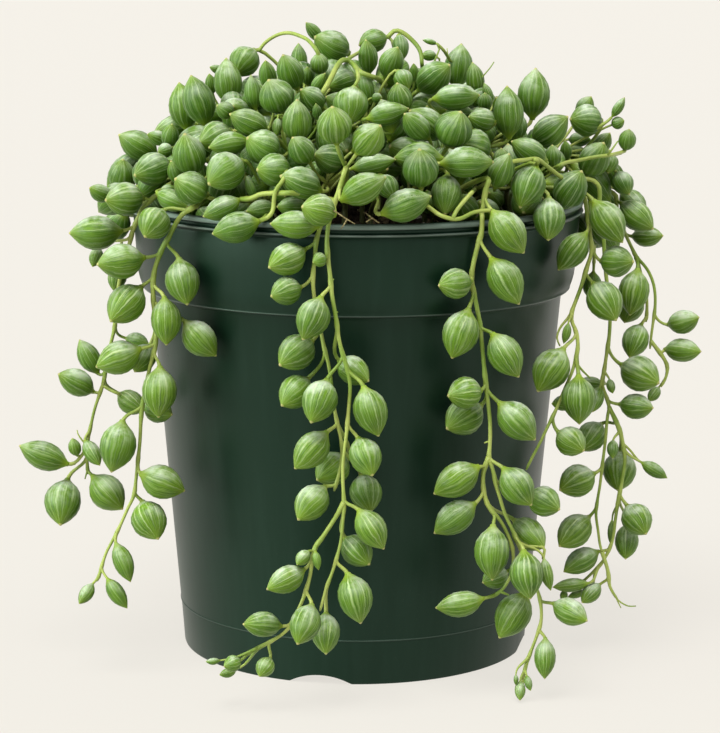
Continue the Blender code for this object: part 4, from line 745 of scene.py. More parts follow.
    def spread_roots(self, free: Array, fixed: Array, gap: float) -> Array:
        """Move roots apart.

        Args:
            free: the ones that may move.
            fixed: the ones that stay.
            gap: the wanted distance.

        Returns:
            The free ones' new places.
        """
        free = free.copy()
        for _ in range(80):
            everything = np.vstack((free, fixed))
            for k in range(len(free)):
                away = free[k] - everything
                far = spans(away)
                far[k] = 1.0
                near = far < gap
                if near.any():
                    free[k] += (away[near] / far[near, None] * (gap - far[near, None])).sum(axis=0) * 0.5
            ring = spans(free)
            free *= np.minimum(1.0, self.shoot_root_reach / ring)[:, None]
        return free

    def shoot_routes(self, first: int, fixed_roots: Array) -> list:
        """Group the mound's leaves and send one shoot from the soil to each group.

        Args:
            first: the first shoot's number.
            fixed_roots: where the trailing strands stand.

        Returns:
            One route for each shoot.
        """
        leaves = self.leaves
        loose = np.flatnonzero(leaves.strand < 0)
        necks = leaves.neck()[loose]
        necks = necks + unit(self.mound.middle + UP * 12 * MM - necks) * 5 * MM
        middles = self.mound.middle + dome_directions(self.shoots, 0.02) * self.mound.reach * 0.92
        for _ in range(6):
            group = spans(necks[:, None] - middles[None]).argmin(axis=1)
            for g in range(self.shoots):
                if (group == g).any():
                    middles[g] = necks[group == g].mean(axis=0)
        used = [g for g in range(self.shoots) if (group == g).any()]
        ring = np.array([middles[g][:2] for g in used]) * 0.66
        roots = self.spread_roots(ring, fixed_roots, 8 * MM)
        routes = []
        for n, g in enumerate(used):
            leaves.strand[loose[group == g]] = first + n
            root = np.array((roots[n][0], roots[n][1], self.pot.soil_top))
            routes.append(self.shoot_route(root, middles[g], necks[group == g]))
        return routes

    def shoot_route(self, root: Array, middle: Array, members: Array) -> Array:
        """One shoot from its root to its leaves, over the lip where they hang outside.

        Args:
            root: its place in the soil.
            middle: the middle of its leaves' necks.
            members: those necks.

        Returns:
            Its route.
        """
        goal = middle + unit(self.mound.middle - middle) * 4 * MM
        rise = root + UP * 9 * MM
        reach = np.hypot(goal[0], goal[1])
        knots = [root - UP * 6 * MM, root, rise]
        if reach > 73 * MM:
            out = np.array((goal[0], goal[1], 0.0)) / reach
            over = max(goal[2] + 3 * MM, self.pot.height + 9 * MM)
            knots.append(out * 72 * MM + UP * over)
        elif goal[2] - rise[2] > 14 * MM:
            bow = np.array((goal[0] - root[0], goal[1] - root[1], 0.0)) * 0.12
            knots.append(rise * 0.5 + goal * 0.5 - bow)
        if np.linalg.norm(goal - knots[-1]) > 4 * MM:
            knots.append(goal)
        far = members[spans(members - goal).argmax()]
        ahead = far - knots[-1]
        if np.linalg.norm(ahead) > 9 * MM:
            knots.append(knots[-1] + ahead * 0.72)
        return resample(np.array(knots), self.stem_step)

    def part_stems(self) -> None:
        """Move stems of different strands apart where they come too close, and off the pot."""
        stems, owners = self.stems, self.owners
        points = np.vstack(stems)
        owner = np.concatenate([np.full(len(s), o) for s, o in zip(stems, owners)])
        ease = np.concatenate(
            [np.full(len(s), 1.0 if free else 0.25) for s, free in zip(stems, self.loose)])[:, None]
        first = np.concatenate(((0,), np.cumsum([len(s) for s in stems])))
        fixed = np.zeros(len(points), dtype=bool)
        for k, o in enumerate(owners):
            is_twig = k > 0 and owners[k - 1] == o
            fixed[first[k]:first[k] + (1 if is_twig else 4)] = True
        for step in range(self.stem_rounds):
            if step % 10 == 0:
                far = spans(points[:, None, :] - points[None, :, :])
                far[owner[:, None] == owner[None, :]] = 1.0
                pairs = np.argwhere(np.triu(far < self.stem_gap + 8 * MM, 1))
            a, b = pairs[:, 0], pairs[:, 1]
            away = points[a] - points[b]
            far = np.linalg.norm(away, axis=1, keepdims=True) + 1e-9
            shove = away / far * np.maximum(self.stem_gap - far, 0.0)
            push = np.zeros_like(points)
            np.add.at(push, a, shove * ease[a] / (ease[a] + ease[b]))
            np.add.at(push, b, -shove * ease[b] / (ease[a] + ease[b]))
            spread = push.copy()
            for _ in range(3):
                eased = spread.copy()
                for k in range(len(stems)):
                    piece = spread[first[k]:first[k + 1]]
                    eased[first[k] + 1:first[k + 1] - 1] = (piece[:-2] + piece[1:-1] * 2 + piece[2:]) / 4
                spread = eased
            move = 0.3 * push + 0.7 * spread
            move = move + self.pot.keep_off(points, self.stem_radius + self.stem_off_pot)
            points = points + np.where(fixed[:, None], 0.0, move)
        self.stems = [points[first[k]:first[k + 1]] for k in range(len(stems))]

    @staticmethod
    def way_out(away: Array, room: Array) -> Array:
        """How far and which way each pair has to part.

        Args:
            away: the ways between their spheres' middles.
            room: the distances that those middles need.

        Returns:
            A move for each pair, none for one that is clear.
        """
        gap = np.sqrt((away ** 2).sum(axis=-1)) + 1e-9
        deep = (room - gap).reshape(len(away), -1)
        worst = deep.argmax(axis=1)
        pairs = np.arange(len(away))
        line = (away / gap[..., None]).reshape(len(away), -1, 3)[pairs, worst]
        return line * np.maximum(deep[pairs, worst], 0.0)[:, None]

    def relax(self) -> None:
        """Move leaves apart, off the stems, the pot and the soil, mostly along the line of sight."""
        leaves = self.leaves
        home = leaves.middle.copy()
        ray = unit(leaves.middle - self.view.eye)
        sideways = np.where(leaves.seen, 0.30, 1.0)[:, None]
        for step in range(self.leaf_rounds):
            if step % 8 == 0:
                pairs = leaves.near_pairs(4 * MM)
                far = spans(leaves.middle[:, None] - self.points[None])
                beside = np.argwhere(far < leaves.length[:, None] * 0.5 + 6 * MM)
            centres, radii = leaves.spheres()
            push = np.zeros_like(leaves.middle)
            a, b = pairs[:, 0], pairs[:, 1]
            out = self.way_out(centres[a][:, :, None, :] - centres[b][:, None, :, :],
                               radii[a][:, :, None] + radii[b][:, None, :] + self.leaf_gap)
            np.add.at(push, a, out * 0.5)
            np.add.at(push, b, -out * 0.5)
            a, s = beside[:, 0], beside[:, 1]
            out = self.way_out(centres[a] - self.points[s][:, None, :],
                               radii[a] + self.stem_radius + self.leaf_gap)
            np.add.at(push, a, out * 0.6)
            flat = centres.reshape(-1, 3)
            off = self.pot.keep_off(flat, (radii + self.leaf_gap).reshape(-1)).reshape(centres.shape)
            strongest = spans(off).argmax(axis=1)
            off = off[np.arange(len(off)), strongest]
            along = (push * ray).sum(axis=1, keepdims=True) * ray
            push = along + (push - along) * sideways + off
            size = np.linalg.norm(push, axis=1, keepdims=True)
            push *= np.minimum(1.0, 1.5 * MM / np.maximum(size, 1e-9))
            leaves.middle = leaves.middle + push + (home - leaves.middle) * 0.01

    def holds(self) -> Array:
        """Where each leaf's petiole meets its own strand: near its neck, out of the soil, with little bend.

        Returns:
            One point in each row.
        """
        found = []
        for neck, axis, own in zip(self.leaves.neck(), self.leaves.axis, self.leaves.strand):
            spots = self.points[self.point_owner == own]
            bend = unit(spots - neck) @ axis
            inside = np.hypot(spots[:, 0], spots[:, 1]) < self.pot.lip_inside
            bad = inside & (spots[:, 2] < self.pot.soil_top + 3 * MM) | (bend > self.sharpest_bend)
            cost = spans(spots - neck) + 5 * MM * np.maximum(bend + 0.2, 0.0) + bad
            found.append(spots[cost.argmin()])
        return np.array(found)


class Sheet:
    """A material's node tree, with short ways to add and join its nodes."""

    def __init__(self, name: str) -> None:
        """An empty material with its Principled shader.

        Args:
            name: its name.
        """
        self.material = bpy.data.materials.new(name)
        self.material.use_nodes = True
        self.tree = self.material.node_tree
        self.coordinates = self.add("TexCoord")

    def add(self, kind: str, sockets: dict | None = None, **settings: object) -> bpy.types.Node:
        """A new node.

        Args:
            kind: its type.
            sockets: its inputs by name or number.
            settings: its properties.

        Returns:
            The node.
        """
        node = self.tree.nodes.new("ShaderNode" + kind)
        for key, value in settings.items():
            setattr(node, key, value)
        self.feed(node, sockets or {})
        return node

    def feed(self, node: bpy.types.Node, sockets: dict) -> None:
        """Set a node's inputs.

        Args:
            node: the node.
            sockets: a number, a colour or another node's output for each input by name or number.
        """
        for key, value in sockets.items():
            socket = node.inputs[key]
            if isinstance(value, Socket):
                self.tree.links.new(value, socket)
            elif isinstance(value, tuple) and len(value) < len(socket.default_value):
                socket.default_value = (*value, 1.0)
            else:
                socket.default_value = value

    def math(self, operation: str, *values: object) -> Socket:
        """A sum of numbers or outputs."""
        return self.add("Math", dict(enumerate(values)), operation=operation).outputs[0]

    def times(self, first: object, second: object) -> Socket:
        """A product."""
        return self.math("MULTIPLY", first, second)

    def mix(self, share: object, first: object, second: object) -> Socket:
        """A mix of two colours, by the share of the second."""
        return self.add("Mix", {0: share, 6: first, 7: second}, data_type="RGBA").outputs[2]

    def ramp(self, value: object, low: float, high: float) -> Socket:
        """A value eased from 0 at low to 1 at high."""
        return self.add("MapRange", {0: value, 1: low, 2: high}, interpolation_type="SMOOTHSTEP").outputs[0]

    def noise(self, scale: float, detail: float = 3.0, roughness: float = 0.5,
              where: object = None) -> Socket:
        """Soft noise.

        Args:
            scale: how fine it is.
            detail: how many octaves it has.
            roughness: how strong each finer octave is.
            where: coordinates, the object's own unless given.

        Returns:
            A number from 0 to 1.
        """
        where = where or self.coordinates.outputs["Object"]
        return self.add("TexNoise", {"Vector": where, "Scale": scale, "Detail": detail,
                                     "Roughness": roughness}).outputs[0]

    def split(self, value: object) -> tuple:
        """The three numbers of a vector or a colour."""
        return tuple(self.add("SeparateXYZ", {0: value}).outputs)

    def vector(self, *values: object) -> Socket:
        """Three numbers or outputs as one vector."""
        return self.add("CombineXYZ", dict(enumerate(values))).outputs[0]

    def ring(self) -> tuple:
        """A place's distance from the pot's axis, and its height."""
        x, y, high = self.split(self.coordinates.outputs["Object"])
        return self.math("SQRT", self.math("ADD", self.times(x, x), self.times(y, y))), high

    def attribute(self, name: str) -> Socket:
        """A number that the mesh carries."""
        return self.add("Attribute", attribute_name=name).outputs["Fac"]

    def bump(self, height: object, distance: float, strength: float) -> Socket:
        """The normal of a surface that stands a distance higher where a value is 1."""
        return self.add("Bump", {"Height": height, "Distance": distance, "Strength": strength}).outputs[0]

    def finish(self, **sockets: object) -> bpy.types.Material:
        """Set the shader's inputs.

        Args:
            sockets: a value for each input, by its name with _ for each space.

        Returns:
            The material.
        """
        self.feed(self.tree.nodes["Principled BSDF"],
                  {key.replace("_", " "): value for key, value in sockets.items()})
        return self.material


@dataclass(frozen=True)
class LeafSkin:
    """Plump green leaf skin with soft pale stripes from neck to tip, a silvery highlight painted on top and
    shade painted underneath.
    """

    deep: tuple = (0.022, 0.076, 0.0015)
    light: tuple = (0.112, 0.238, 0.014)
    fresh: tuple = (0.200, 0.335, 0.008)
    stripe: tuple = (0.400, 0.520, 0.255)
    fresh_stripe: tuple = (0.520, 0.620, 0.300)
    # The colour of the highlight painted on the top-facing skin.
    top_highlight: tuple = (0.620, 0.700, 0.560)
    neck: tuple = (0.240, 0.340, 0.025)
    nib: tuple = (0.380, 0.370, 0.130)
    stripes: int = 14
    fine_stripes: int = 42
    roughness: float = 0.38
    specular: float = 0.24

    def make(self) -> bpy.types.Material:
        """The leaf's material.

        Returns:
            The material.
        """
        sheet = Sheet("leaf_skin")
        around, along, _ = sheet.split(sheet.add("UVMap", uv_map="leaf_map").outputs[0])
        tone = sheet.attribute("leaf_tone")
        youth = sheet.attribute("leaf_youth")
        # How far the skin faces up: it sets painted shade on the underside, and stronger stripes and a
        # painted highlight on top.
        facing_up = sheet.ramp(sheet.split(sheet.coordinates.outputs["Normal"])[2], -0.20, 0.95)
        sway = sheet.math("SUBTRACT", sheet.noise(130.0), 0.5)
        spot = (sheet.math("MULTIPLY_ADD", sway, 0.055, around), along, tone)
        broad = self.lines(sheet, spot, self.stripes, (0.07, 0.27))
        fine = self.lines(sheet, spot, self.fine_stripes, (0.12, 0.32))
        ends = sheet.times(sheet.ramp(along, 0.03, 0.20), sheet.ramp(along, 1.0, 0.93))
        marks = sheet.times(sheet.math("MAXIMUM", broad, sheet.times(fine, 0.42)), ends)
        body = sheet.mix(sheet.ramp(sheet.noise(110.0), 0.30, 0.72), self.deep, self.light)
        body = sheet.mix(sheet.times(tone, 0.40), body, self.light)
        body = sheet.mix(sheet.times(youth, 0.60), body, self.fresh)
        body = sheet.mix(sheet.times(self.veins(sheet, spot), 0.60), body, self.deep)
        # Painted shade: the deep green darkens the skin where it faces down.
        body = sheet.mix(sheet.times(sheet.math("SUBTRACT", 1.0, facing_up), 0.38), body, self.deep)
        # Painted light: the pale stripes are made stronger where the skin faces up.
        strength = sheet.math("MULTIPLY_ADD", facing_up, 0.55, 0.34)
        pale = sheet.mix(youth, self.stripe, self.fresh_stripe)
        body = sheet.mix(sheet.times(marks, strength), body, pale)
        # Painted highlight: a patchy pale sheen on the top-facing skin, strongest where it faces straight
        # up.
        painted_top_highlight = sheet.times(sheet.ramp(sheet.noise(190.0, 4.0, 0.6), 0.34, 0.70),
                           sheet.times(sheet.times(facing_up, facing_up),
                                       sheet.math("MULTIPLY_ADD", tone, 0.50, 0.42)))
        body = sheet.mix(painted_top_highlight, body, self.top_highlight)
        body = sheet.mix(sheet.times(sheet.ramp(along, 0.22, 0.0), 0.85), body, self.neck)
        body = sheet.mix(sheet.times(sheet.ramp(along, 0.74, 1.0), 0.35), body, self.neck)
        body = sheet.mix(sheet.ramp(along, 0.962, 0.985), body, self.nib)
        rise = sheet.math("MULTIPLY_ADD", sheet.noise(2600.0, 2.0), 0.25, marks)
        rough = sheet.math("MULTIPLY_ADD", sheet.noise(700.0, 2.0), 0.16, self.roughness - 0.06)
        return sheet.finish(
            Base_Color=body, Roughness=rough, Normal=sheet.bump(rise, 0.00012, 0.5),
            Specular_IOR_Level=self.specular, Subsurface_Weight=0.10, Subsurface_Radius=(0.30, 1.0, 0.12),
            Subsurface_Scale=0.0014, Sheen_Weight=0.02, Sheen_Roughness=0.5, Sheen_Tint=(0.85, 1.0, 0.88))

    @staticmethod
    def lines(sheet: Sheet, spot: tuple, count: int, widths: tuple) -> Socket:
        """Soft lines from neck to tip, each with its own place, width, strength and breaks.

        Args:
            sheet: the node tree.
            spot: the place round the leaf, the place along it, and the leaf's own random number.
            count: how many lines go round.
            widths: the least and the greatest half width, as shares of a line's room.

        Returns:
            1 on the middle of a strong line and 0 between two.
        """
        around, along, tone = spot
        turned = sheet.times(around, float(count))
        cell = sheet.math("FLOORED_MODULO", sheet.math("FLOOR", turned), float(count))
        drawn = sheet.add("TexWhiteNoise", {"W": sheet.math("MULTIPLY_ADD", tone, 91.7, cell)},
                          noise_dimensions="1D")
        shift, width, strength = sheet.split(drawn.outputs["Color"])
        middle = sheet.math("MULTIPLY_ADD", shift, 0.36, -0.68)
        off = sheet.math("ABSOLUTE", sheet.math("ADD", sheet.math("FRACT", turned), middle))
        half = sheet.math("MULTIPLY_ADD", width, widths[1] - widths[0], widths[0])
        line = sheet.ramp(sheet.math("SUBTRACT", 1.0, sheet.math("DIVIDE", off, half)), 0.0, 0.75)
        place = sheet.vector(sheet.times(cell, 3.1), sheet.times(along, 2.6), sheet.times(tone, 30.0))
        breaks = sheet.ramp(sheet.noise(1.0, 2.0, 0.6, place), 0.30, 0.56)
        line = sheet.times(line, sheet.math("MULTIPLY_ADD", breaks, 0.65, 0.35))
        return sheet.times(line, sheet.math("MULTIPLY_ADD", strength, 0.60, 0.40))

    @staticmethod
    def veins(sheet: Sheet, spot: tuple) -> Socket:
        """Darker streaks from neck to tip.

        Args:
            sheet: the node tree.
            spot: the place round the leaf, the place along it, and the leaf's own random number.

        Returns:
            1 in the darkest streaks.
        """
        angle = sheet.times(spot[0], 2.0 * math.pi)
        shift = sheet.times(spot[2], 40.0)
        place = sheet.vector(sheet.math("MULTIPLY_ADD", sheet.math("COSINE", angle), 3.2, shift),
                             sheet.math("MULTIPLY_ADD", sheet.math("SINE", angle), 3.2, shift),
                             sheet.times(spot[1], 0.9))
        return sheet.ramp(sheet.noise(2.2, 3.0, 0.6, place), 0.46, 0.66)


@dataclass(frozen=True)
class StemSkin:
    """Yellow-green stem, browner in streaks and dark where it stands in the soil."""

    pale: tuple = (0.400, 0.460, 0.110)
    green: tuple = (0.160, 0.250, 0.028)
    brown: tuple = (0.190, 0.150, 0.060)
    bark: tuple = (0.040, 0.038, 0.014)

    def make(self) -> bpy.types.Material:
        """The stem's material.

        Returns:
            The material.
        """
        sheet = Sheet("stem_skin")
        body = sheet.mix(sheet.ramp(sheet.noise(60.0), 0.35, 0.66), self.pale, self.green)
        streak = sheet.ramp(sheet.noise(900.0, 3.0, 0.6), 0.56, 0.74)
        body = sheet.mix(sheet.times(streak, 0.35), body, self.brown)
        shade = sheet.math("SUBTRACT", 1.0, sheet.attribute("leaf_tone"))
        body = sheet.mix(sheet.times(shade, 0.35), body, self.green)
        ring, high = sheet.ring()
        old = sheet.times(sheet.ramp(high, 0.178, 0.166), sheet.ramp(ring, 0.081, 0.076))
        body = sheet.mix(sheet.times(old, 0.85), body, self.bark)
        return sheet.finish(
            Base_Color=body, Roughness=0.46, Normal=sheet.bump(sheet.noise(1500.0), 0.00015, 0.5),
            Specular_IOR_Level=0.4, Subsurface_Weight=0.08, Subsurface_Radius=(0.5, 1.0, 0.2),
            Subsurface_Scale=0.001)


@dataclass(frozen=True)
class PotPlastic:
    """Very dark green moulded plastic with a soft sheen, fine streaks, a little dust and highlights painted
    on its raised edges.
    """

    form: PotForm = PotForm()
    green: tuple = (0.0030, 0.0132, 0.0068)
    worn: tuple = (0.008, 0.022, 0.014)
    dusty: tuple = (0.090, 0.110, 0.085)
    # Painted highlight colour for the bead and the band's ledge.
    edge_highlight: tuple = (0.190, 0.230, 0.200)
    # Painted highlight colour for the lip's top and the mould line.
    lip: tuple = (0.220, 0.280, 0.240)
    tint: tuple = (0.66, 1.0, 0.80)
    roughness: float = 0.37
    specular: float = 0.30

    def make(self) -> bpy.types.Material:
        """The pot's material.

        Returns:
            The material.
        """
        sheet = Sheet("pot_plastic")
        place = sheet.coordinates.outputs["Object"]
        stretch = sheet.add("Mapping", {"Vector": place, "Scale": (1.0, 1.0, 0.07)})
        streaks = sheet.noise(210.0, 4.0, 0.55, stretch.outputs[0])
        clouds = sheet.noise(22.0, 4.0, 0.5)
        dust = sheet.ramp(sheet.noise(900.0, 4.0, 0.65), 0.60, 0.78)
        dust = sheet.times(dust, sheet.ramp(clouds, 0.35, 0.75))
        body = sheet.mix(sheet.times(sheet.ramp(streaks, 0.40, 0.72), 0.38), self.green, self.worn)
        body = sheet.mix(sheet.times(dust, 0.16), body, self.dusty)
        rough = sheet.math("MULTIPLY_ADD", clouds, 0.14, self.roughness - 0.07)
        rough = sheet.math("MULTIPLY_ADD", dust, 0.2, rough)
        grain = sheet.math("MULTIPLY_ADD", streaks, 1.2, sheet.noise(2200.0))
        # The base colour gets highlights painted on the raised edges.
        return sheet.finish(
            Base_Color=self.painted_edge_highlights(sheet, body, clouds), Roughness=rough,
            Normal=sheet.bump(grain, 0.00006, 0.35), Specular_IOR_Level=self.specular,
            Specular_Tint=self.tint)

    def painted_edge_highlights(self, sheet: Sheet, body: object, clouds: object) -> Socket:
        """Paint highlights on the raised edges: the bead, the lip, the band's ledge and the mould line.

        Args:
            sheet: the node tree.
            body: the colour so far.
            clouds: soft noise that varies how bright the painted highlights are.

        Returns:
            The colour with its painted edge highlights.
        """
        ring, high = sheet.ring()
        # How strong the painted highlights are, varied by soft noise.
        highlight_strength = sheet.math("MULTIPLY_ADD", sheet.ramp(clouds, 0.25, 0.75), 0.55, 0.45)
        form = self.form
        # Each raised edge gets a pale band of painted highlight at its height, outside a given radius.
        for middle, half, inner, colour, share in (
                (form.lip_bottom + 0.45 * MM, 0.42 * MM, form.lip_radius - 0.6 * MM, self.edge_highlight, 0.85),
                (form.height - 1.25 * MM, 1.00 * MM, form.lip_radius - 1.2 * MM, self.lip, 0.95),
                (form.band_bottom - 1.5 * MM, 0.30 * MM, form.body_top_radius + 2.6 * MM, self.edge_highlight, 0.40),
                (form.mould_line_height, 0.22 * MM, form.mould_line_radius, self.lip, 0.20)):
            off = sheet.math("ABSOLUTE", sheet.math("SUBTRACT", high, middle))
            near = sheet.times(sheet.ramp(off, half * 1.3, half * 0.4), sheet.times(highlight_strength, share))
            near = sheet.times(near, sheet.math("GREATER_THAN", ring, inner))
            body = sheet.mix(near, body, colour)
        return body


@dataclass(frozen=True)
class Peat:
    """Dark brown crumbly potting mix."""

    dark: tuple = (0.012, 0.007, 0.004)
    brown: tuple = (0.042, 0.027, 0.015)
    straw: tuple = (0.190, 0.145, 0.080)

    def make(self) -> bpy.types.Material:
        """The mix's material.

        Returns:
            The material.
        """
        sheet = Sheet("peat")
        body = sheet.mix(sheet.ramp(sheet.noise(380.0, 5.0, 0.65), 0.36, 0.66), self.dark, self.brown)
        body = sheet.mix(sheet.ramp(sheet.noise(1300.0, 4.0, 0.6), 0.62, 0.74), body, self.straw)
        tone = sheet.times(sheet.ramp(sheet.attribute("leaf_tone"), 0.70, 1.0), 0.8)
        return sheet.finish(
            Base_Color=sheet.mix(tone, body, self.straw), Roughness=0.95, Specular_IOR_Level=0.2,
            Normal=sheet.bump(sheet.noise(1100.0, 5.0, 0.7), 0.0009, 0.8))


@dataclass(frozen=True)
class Grit:
    """A rough, fine-grained finish in two colours: white grains or dry rootlets."""

    name: str
    dark: tuple
    pale: tuple
    scale: float = 2400.0
    rise: float = 0.0004

    def make(self) -> bpy.types.Material:
        """The grains' or rootlets' material.

        Returns:
            The material.
        """
        sheet = Sheet(self.name)
        pits = sheet.noise(self.scale, 4.0, 0.65)
        body = sheet.mix(sheet.ramp(pits, 0.42, 0.62), self.dark, self.pale)
        return sheet.finish(Base_Color=body, Roughness=0.85, Specular_IOR_Level=0.3,
                            Normal=sheet.bump(pits, self.rise, 0.7))


PERLITE = Grit("perlite", (0.36, 0.33, 0.28), (0.62, 0.59, 0.53))
DRY_ROOT = Grit("dry_root", (0.130, 0.100, 0.040), (0.300, 0.260, 0.120), 1500.0, 0.0002)


@dataclass(frozen=True)
class PaleFloor:
    """Plain warm-white studio floor, lit a little from below so that shadows stay faint."""

    cream: tuple = (0.105, 0.101, 0.0933)
    shade: tuple = (0.099, 0.095, 0.088)
    glow: float = 6.85

    def make(self) -> bpy.types.Material:
        """The floor's material.

        Returns:
            The material.
        """
        sheet = Sheet("pale_floor")
        body = sheet.mix(sheet.times(sheet.noise(3.0, 2.0), 0.02), self.cream, self.shade)
        return sheet.finish(Base_Color=body, Roughness=0.9, Specular_IOR_Level=0.1,
                            Emission_Color=self.cream, Emission_Strength=self.glow)


def deselect() -> None:
    """Leave edit mode and deselect everything."""
    if bpy.context.mode != "OBJECT":
        bpy.ops.object.mode_set(mode="OBJECT")
    bpy.ops.object.select_all(action="DESELECT")


def pick(piece: Piece) -> None:
    """Make one object the only selected and active one.

    Args:
        piece: the object.
    """
    deselect()
    piece.select_set(True)
    bpy.context.view_layer.objects.active = piece


def tidy_mesh(piece: Piece) -> None:
    """Merge a mesh's doubles, then turn its faces outward.

    Args:
        piece: the mesh object.
    """
    pick(piece)
    bpy.ops.object.mode_set(mode="EDIT")
    bpy.ops.mesh.select_all(action="SELECT")
    bpy.ops.mesh.remove_doubles(threshold=0.000002)
    bpy.ops.mesh.normals_make_consistent(inside=False)
    bpy.ops.object.mode_set(mode="OBJECT")


def spun(name: str, profile: list, steps: int) -> Piece:
    """A profile in the XZ plane, drawn by extrusion and spun round the Z axis.

    Args:
        name: the new object's name.
        profile: its points as (radius, height).
        steps: how many steps make the full turn.

    Returns:
        The turned object.
    """
    deselect()
    bpy.ops.mesh.primitive_plane_add(size=1.0)
    piece = bpy.context.object
    piece.name = name
    bpy.ops.object.mode_set(mode="EDIT")
    bpy.ops.mesh.delete(type="VERT")
    bpy.ops.object.mode_set(mode="OBJECT")
    piece.data.vertices.add(1)
    piece.data.vertices[0].co = (profile[0][0], 0.0, profile[0][1])
    bpy.ops.object.mode_set(mode="EDIT")
    bpy.ops.mesh.select_mode(type="VERT")
    bpy.ops.mesh.select_all(action="SELECT")
    for last, here in zip(profile, profile[1:]):
        bpy.ops.mesh.extrude_region_move(
            TRANSFORM_OT_translate={"value": (here[0] - last[0], 0.0, here[1] - last[1])})
    bpy.ops.mesh.select_all(action="SELECT")
    bpy.ops.mesh.spin(steps=steps, angle=2.0 * math.pi, center=(0.0, 0.0, 0.0), axis=(0.0, 0.0, 1.0))
    bpy.ops.object.mode_set(mode="OBJECT")
    tidy_mesh(piece)
    return piece


def set_number(piece: Piece, name: str, value: float) -> None:
    """Give every point of a mesh the same number."""
    layer = piece.data.attributes.get(name) or piece.data.attributes.new(name, "FLOAT", "POINT")
    layer.data.foreach_set("value", np.full(len(piece.data.vertices), value, dtype=np.float32))


def copy_of(name: str, blank: Piece, points: Array, tone: float) -> Piece:
    """A copy of a blank, with its own mesh.

    Args:
        name: the copy's name.
        blank: what is copied.
        points: where the copy's points lie.
        tone: its own random number.

    Returns:
        The copy.
    """
    mesh = blank.data.copy()
    mesh.vertices.foreach_set("co", points.astype(np.float32).ravel())
    mesh.update()
    piece = bpy.data.objects.new(name, mesh)
    bpy.context.scene.collection.objects.link(piece)
    set_number(piece, "leaf_tone", tone)
    return piece


def joined(name: str, pieces: list) -> Piece:
    """Join several mesh objects into one.

    Args:
        name: the new object's name.
        pieces: the objects, first the one whose materials come first.

    Returns:
        The joined object.
    """
    pick(pieces[0])
    for piece in pieces:
        piece.select_set(True)
    if len(pieces) > 1:
        bpy.ops.object.join()
    whole = bpy.context.view_layer.objects.active
    whole.name = whole.data.name = name
    return whole


def tubes(name: str, runs: list, sides: int) -> Piece:
    """Round tubes along routes, as one mesh.

    Args:
        name: the new object's name.
        runs: for each tube its points and the radius at each point.
        sides: how many faces go round a tube, an even number.

    Returns:
        The tubes.
    """
    curve = bpy.data.curves.new(name, "CURVE")
    curve.dimensions = "3D"
    curve.bevel_depth = MM
    curve.bevel_resolution = max(sides // 2 - 2, 0)
    curve.use_fill_caps = True
    for points, radii in runs:
        spline = curve.splines.new("POLY")
        spline.points.add(len(points) - 1)
        for knot, place, radius in zip(spline.points, points, radii):
            knot.co = (*place, 1.0)
            knot.radius = radius / MM
    guide = bpy.data.objects.new(name, curve)
    bpy.context.scene.collection.objects.link(guide)
    pick(guide)
    bpy.ops.object.convert(target="MESH")
    piece = bpy.context.object
    tidy_mesh(piece)
    for layer in list(piece.data.uv_layers):
        piece.data.uv_layers.remove(layer)
    piece.data.shade_smooth()
    return piece


def settle(piece: Piece, slot: Slot, *nodes: str) -> None:
    """Hand a finished piece to the frame.

    Args:
        piece: the object.
        slot: the record's material slot; not used.
        nodes: the CAD nodes that it stands for.
    """
    if nodes:
        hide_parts(*nodes)
    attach(piece, "root")
    LOG.info("%s: %d faces", piece.name, len(piece.data.polygons))


